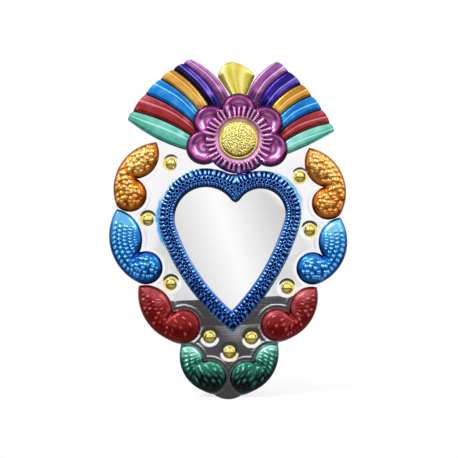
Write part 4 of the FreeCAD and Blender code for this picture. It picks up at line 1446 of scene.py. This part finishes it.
@dataclass
class Plate:
    """Bright base plate with the relief that the pressing left round studs and leaves."""

    heart: Heart = field(default_factory=Heart)
    border: Border = field(default_factory=Border)
    studs: tuple[Point, ...] = (
        (-42.5, 63.6), (-59.5, 22.4), (-42.5, -24.5), (-14.1, -63.8), (0.3, -74.8),
        (16.6, -64.6), (42.5, -27.6), (59.2, 14.8), (52.1, 54.1),
    )
    run_sides: tuple[float, ...] = (200, 160, 190, 140, 320, 150, 20, 330, 260)
    run_edge: float = 4.9
    well_start: float = 3.6
    well: float = 4.4
    well_edge: float = 6.9
    well_depth: float = 0.26
    line_off: float = 1.8
    line_width: float = 0.55
    fold_level: float = -35.0
    fold_reach: float = 20.0
    folds: tuple[float, float] = (1.2, 0.25)
    bezel: float = 12.0
    pitch: float = 0.85
    spare: int = 4
    thickness: float = 0.6
    cutter_growth: float = 8.0

    def relief(self, x: Array, z: Array) -> Array:
        """Lines pressed round the leaves, wells round the studs, and the slight fold.

        Args:
            x: First plan coordinates.
            z: Second plan coordinates.

        Returns:
            Height of the plate's face over its flat.
        """
        outside = np.full(x.shape, FAR)
        for lobe in self.border.lobes():
            outside = np.minimum(outside, np.minimum(*lobe.away(x, z)))
        stud = nearest(x, z, np.array(self.studs))
        low = 1 - ease(-44, -14, z)
        height = (0.035 + 0.015 * low) * hump(outside - self.line_off, self.line_width)
        sunk = (1 - ease(self.well, self.well_edge, stud)) * ease(self.well_start, self.well, stud)
        height -= self.well_depth * sunk
        height += 0.02 * np.sin(x * 0.21 + 0.5) * np.sin(z * 0.17 + 1.2)
        below = self.fold_level + 0.05 * x - z
        steep, slight = (math.tan(math.radians(angle)) for angle in self.folds)
        height += steep * np.clip(self.fold_reach - np.abs(below), 0, None)
        return height - slight * np.clip(below - self.fold_reach, 0, None)

    def gold_run(self, x: Array, z: Array) -> Array:
        """Where the studs' gold ran into their wells, each to its own side.

        Args:
            x: First plan coordinates.
            z: Second plan coordinates.

        Returns:
            Share of gold.
        """
        gold = np.zeros(x.shape)
        for (stud_x, stud_z), side in zip(self.studs, self.run_sides):
            away = np.hypot(x - stud_x, z - stud_z)
            angle = np.arctan2(z - stud_z, x - stud_x) - math.radians(side)
            edge = self.run_edge + 0.8 * np.cos(angle) + 0.25 * np.cos(3 * angle + stud_x)
            gold = np.maximum(gold, 1 - ease(edge, edge + 0.7, away))
        return gold

    def blue_run(self, x: Array, z: Array) -> Array:
        """Where the bezel's blue ran out over the plate.

        Args:
            x: First plan coordinates.
            z: Second plan coordinates.

        Returns:
            Share of blue.
        """
        off = self.heart.margin(x, z) - self.bezel
        uneven = 0.3 * np.sin(z * 0.45) + 0.25 * np.sin(z * 0.9 + x * 0.4)
        left = ease(-2, 8, z) * (1 - ease(32, 42, z)) * (x < 0)
        right = ease(24, 46, z) * (1 - ease(54, 62, z)) * (x > 25)
        return (left + right) * (1 - ease(1.2, 2.6, off + uneven))

    def cut(self) -> Piece:
        """Cut a fine grid to the outline and window of the plate's solid.

        Returns:
            The flat sheet.
        """
        low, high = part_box("base_plate")
        size, middle = high - low, (low + high) / 2
        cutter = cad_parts["base_plate"].copy()
        cutter.data = cutter.data.copy()
        bpy.context.scene.collection.objects.link(cutter)
        cutter.parent = None
        open_up(cutter)
        bpy.ops.mesh.remove_doubles(threshold=CUTTER_WELD)
        bpy.ops.transform.resize(value=(1, self.cutter_growth, 1), center_override=middle[:])
        columns, rows = (round(side / (self.pitch * MM)) + self.spare for side in (size.x, size.z))
        piece = add_grid("pressed_plate", columns, rows)
        flat = read_points(piece)
        x = middle.x / MM + flat[:, 0] * columns * self.pitch
        z = middle.z / MM + flat[:, 1] * rows * self.pitch
        lay_points(piece, x, z, np.full(x.shape, -self.thickness / 2))
        trim = piece.modifiers.new("outline", "BOOLEAN")
        trim.operation = "INTERSECT"
        trim.solver = "EXACT"
        trim.object = cutter
        bpy.ops.object.modifier_apply(modifier=trim.name)
        bpy.data.objects.remove(cutter)
        return piece

    def build(self) -> None:
        """Press the cut sheet's relief, give it its thickness and a duller back."""
        piece = self.cut()
        points = read_points(piece) / MM
        x, z = points[:, 0], points[:, 2]
        lay_points(piece, x, z, self.relief(x, z))
        paint(piece, BLUE_RUN[0], self.blue_run(x, z))
        paint(piece, GOLD_RUN[0], self.gold_run(x, z))
        open_up(piece)
        bpy.ops.mesh.normals_make_consistent(inside=False)
        bpy.ops.object.mode_set(mode="OBJECT")
        wall = piece.modifiers.new("sheet", "SOLIDIFY")
        wall.thickness = self.thickness * MM
        wall.offset = -1.0 if piece.data.polygons[0].normal.y < 0 else 1.0
        bpy.ops.object.modifier_apply(modifier=wall.name)
        both = read_points(piece)
        both[len(points):, 1] = -(PLATE_FRONT - self.thickness) * MM
        set_points(piece, both)
        bpy.ops.object.shade_smooth_by_angle(angle=PLATE_CREASE)
        clear_selection()
        dress(piece, PLATE_TIN.material(), PLATE_BACK.material())
        facing = np.empty(3 * len(piece.data.polygons), np.float32)
        piece.data.polygons.foreach_get("normal", facing)
        piece.data.polygons.foreach_set("material_index", (facing[1::3] > 0.5).astype(np.int32))
        hand_over(piece, "base_plate")


@dataclass
class CarriedOver:
    """Solids of the frame that keep their shape and only get a finish."""

    studs: int = 9
    plain: dict[str, Tin] = field(
        default_factory=lambda: {
            "back_cover": BACK_TIN, "hanger_strap": BACK_TIN, "hanger_ring": RING_WIRE,
        }
    )

    def dress(self) -> None:
        """Finish the studs, the glass, its board and all that sits behind."""
        finishes = {f"stud_{index}": STUD_GOLD for index in range(1, self.studs + 1)}
        finishes |= self.plain | {"mirror_glass": LookingGlass(), "backing_card": PulpBoard()}
        for name, finish in finishes.items():
            dress(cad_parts[name], finish.material())
            LOG.info("%s: %s", name, finish.name)


@dataclass(frozen=True)
class Lamp:
    """Soft rectangular lamp, in metres and watts."""

    name: str
    place: Triple
    width: float
    depth: float
    power: float

    def hang(self, aim: Vector) -> None:
        """Hang the lamp.

        Args:
            aim: Point that it looks at.
        """
        lamp = bpy.data.lights.new(self.name, "AREA")
        lamp.shape = "RECTANGLE"
        lamp.size, lamp.size_y, lamp.energy = self.width, self.depth, self.power
        holder = bpy.data.objects.new(self.name, lamp)
        holder.location = self.place
        holder.rotation_euler = (aim - Vector(self.place)).to_track_quat("-Z", "Y").to_euler()
        bpy.context.scene.collection.objects.link(holder)


@dataclass
class Studio:
    """White room, pale floor, soft lamps and the camera straight in front.

    The levels are the room's shades by height, and the screens those that only the glass shows.
    """

    distance: float = 1.0
    picture_depth: float = 0.006
    frame_width: float = 0.3358
    sensor: float = 36.0
    aim: float = 0.0154
    floor_level: float = -0.1088
    floor_start: float = 0.002
    floor_size: tuple[float, float] = (2.4, 1.6)
    floor_colour: Colour = (0.86, 0.86, 0.87)
    floor_roughness: float = 0.9
    floor_gloss: float = 0.1
    floor_glow: float = 0.18
    levels: tuple[Point, ...] = (
        (-1.0, 0.5), (-0.62, 0.36), (-0.46, 0.2), (-0.36, 0.08), (-0.28, 0.05), (-0.085, 0.05),
        (-0.074, 0.14), (-0.064, 0.98), (0.0, 1.0), (0.45, 1.0), (1.0, 0.85),
    )
    screens: tuple[Point, ...] = (
        (-0.08, 0.55), (-0.04, 0.7), (-0.002, 1.0), (0.036, 0.66), (0.08, 0.55),
    )
    screen_axis: Triple = (0.948, 0.0, 0.3165)
    glass_way: Triple = (0.0, -1.0, -0.0146)
    glass_reach: tuple[float, float] = (0.047, 0.052)
    lamps: tuple[Lamp, ...] = (
        Lamp("key", (-0.55, -0.75, 0.8), 0.3, 0.3, 5.0),
        Lamp("strip", (0.6, -0.6, 0.55), 0.12, 0.5, 1.2),
    )

    def build_camera(self) -> None:
        """Stand the camera level with the middle of the picture."""
        lens = bpy.data.cameras.new("camera")
        lens.sensor_width = self.sensor
        lens.lens = self.sensor * (self.distance - self.picture_depth) / self.frame_width
        camera = bpy.data.objects.new("camera", lens)
        camera.location = (0, -self.distance, self.aim)
        camera.rotation_euler = (math.pi / 2, 0, 0)
        bpy.context.scene.collection.objects.link(camera)
        bpy.context.scene.camera = camera

    def build_floor(self) -> None:
        """Lay a pale floor under the foot that keeps a faint shadow."""
        floor = add_grid("floor", 8, 8)
        points = read_points(floor)
        points[:, 0] *= self.floor_size[0]
        points[:, 1] = self.floor_start + (points[:, 1] + 0.5) * self.floor_size[1]
        points[:, 2] = self.floor_level
        set_points(floor, points)
        bench = Bench(bpy.data.materials.new("pale_floor"))
        path = bench.add("LightPath", {}).outputs
        seen = bench.sum(path["Is Camera Ray"], path["Is Glossy Ray"])
        seen = bench.sum(seen, path["Is Transmission Ray"])
        bench.feed(bench.shader, {
            "Base Color": self.floor_colour, "Roughness": self.floor_roughness,
            "Specular IOR Level": self.floor_gloss, "Emission Color": (1, 1, 1),
            "Emission Strength": bench.span(seen, 0, 1, 0, self.floor_glow),
        })
        dress(floor, bench.owner)

    def build_world(self) -> None:
        """White all round, with the dark of the room low in front of the mirror."""
        bench = Bench(bpy.data.worlds.new("white_room"))
        bpy.context.scene.world = bench.owner
        bench.tree.nodes.clear()
        place = bench.add("TexCoord", {}).outputs["Generated"]
        height = bench.add("SeparateXYZ", {"Vector": place}).outputs["Z"]
        stops = [((level + 1) / 2, (shade, shade, shade)) for level, shade in self.levels]
        room = bench.grade(bench.span(height, -1, 1, 0, 1), stops)
        aside = bench.add("VectorMath", {0: place, 1: self.screen_axis}, operation="DOT_PRODUCT")
        low, high = self.screens[0][0], self.screens[-1][0]
        soft = bench.add("FloatCurve", {"Value": bench.span(aside.outputs["Value"], low, high, 0, 1)})
        curve = soft.mapping.curves[0]
        for index, (off, shade) in enumerate(self.screens):
            where = (off - low) / (high - low)
            if index in (0, len(self.screens) - 1):
                curve.points[0 if index == 0 else -1].location = (where, shade)
            else:
                curve.points.new(where, shade)
        for point in curve.points:
            point.handle_type = "VECTOR"
        soft.mapping.update()
        away = bench.add("VectorMath", {0: place, 1: self.glass_way}, operation="DISTANCE")
        clear = bench.span(away.outputs["Value"], *self.glass_reach, 0, 1)
        screen = bench.larger(soft.outputs[0], clear)
        shaded = bench.add("VectorMath", {0: room, "Scale": screen}, operation="SCALE").outputs["Vector"]
        path = bench.add("LightPath", {}).outputs
        seen = bench.larger(path["Is Camera Ray"], path["Is Transmission Ray"])
        dim, white = (bench.add("Background", {"Color": c}).outputs[0] for c in (shaded, (1, 1, 1)))
        mix = bench.add("MixShader", {0: seen, 1: dim, 2: white}).outputs[0]
        bench.add("OutputWorld", {"Surface": mix})

    def build(self) -> None:
        """Set up the room, the lamps and the camera."""
        bpy.context.scene.view_settings.view_transform = "Standard"
        self.build_camera()
        self.build_floor()
        self.build_world()
        for lamp in self.lamps:
            lamp.hang(Vector((0, 0, self.aim)))


def main() -> None:
    """Build the mirror's pieces and the studio."""
    logging.basicConfig(level=logging.INFO, format="%(name)s: %(message)s")
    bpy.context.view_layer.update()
    Plate().build()
    Border().build()
    Bezel().build()
    Fans().build()
    Flower().build()
    CarriedOver().dress()
    Studio().build()


if __name__ == "__main__":
    main()
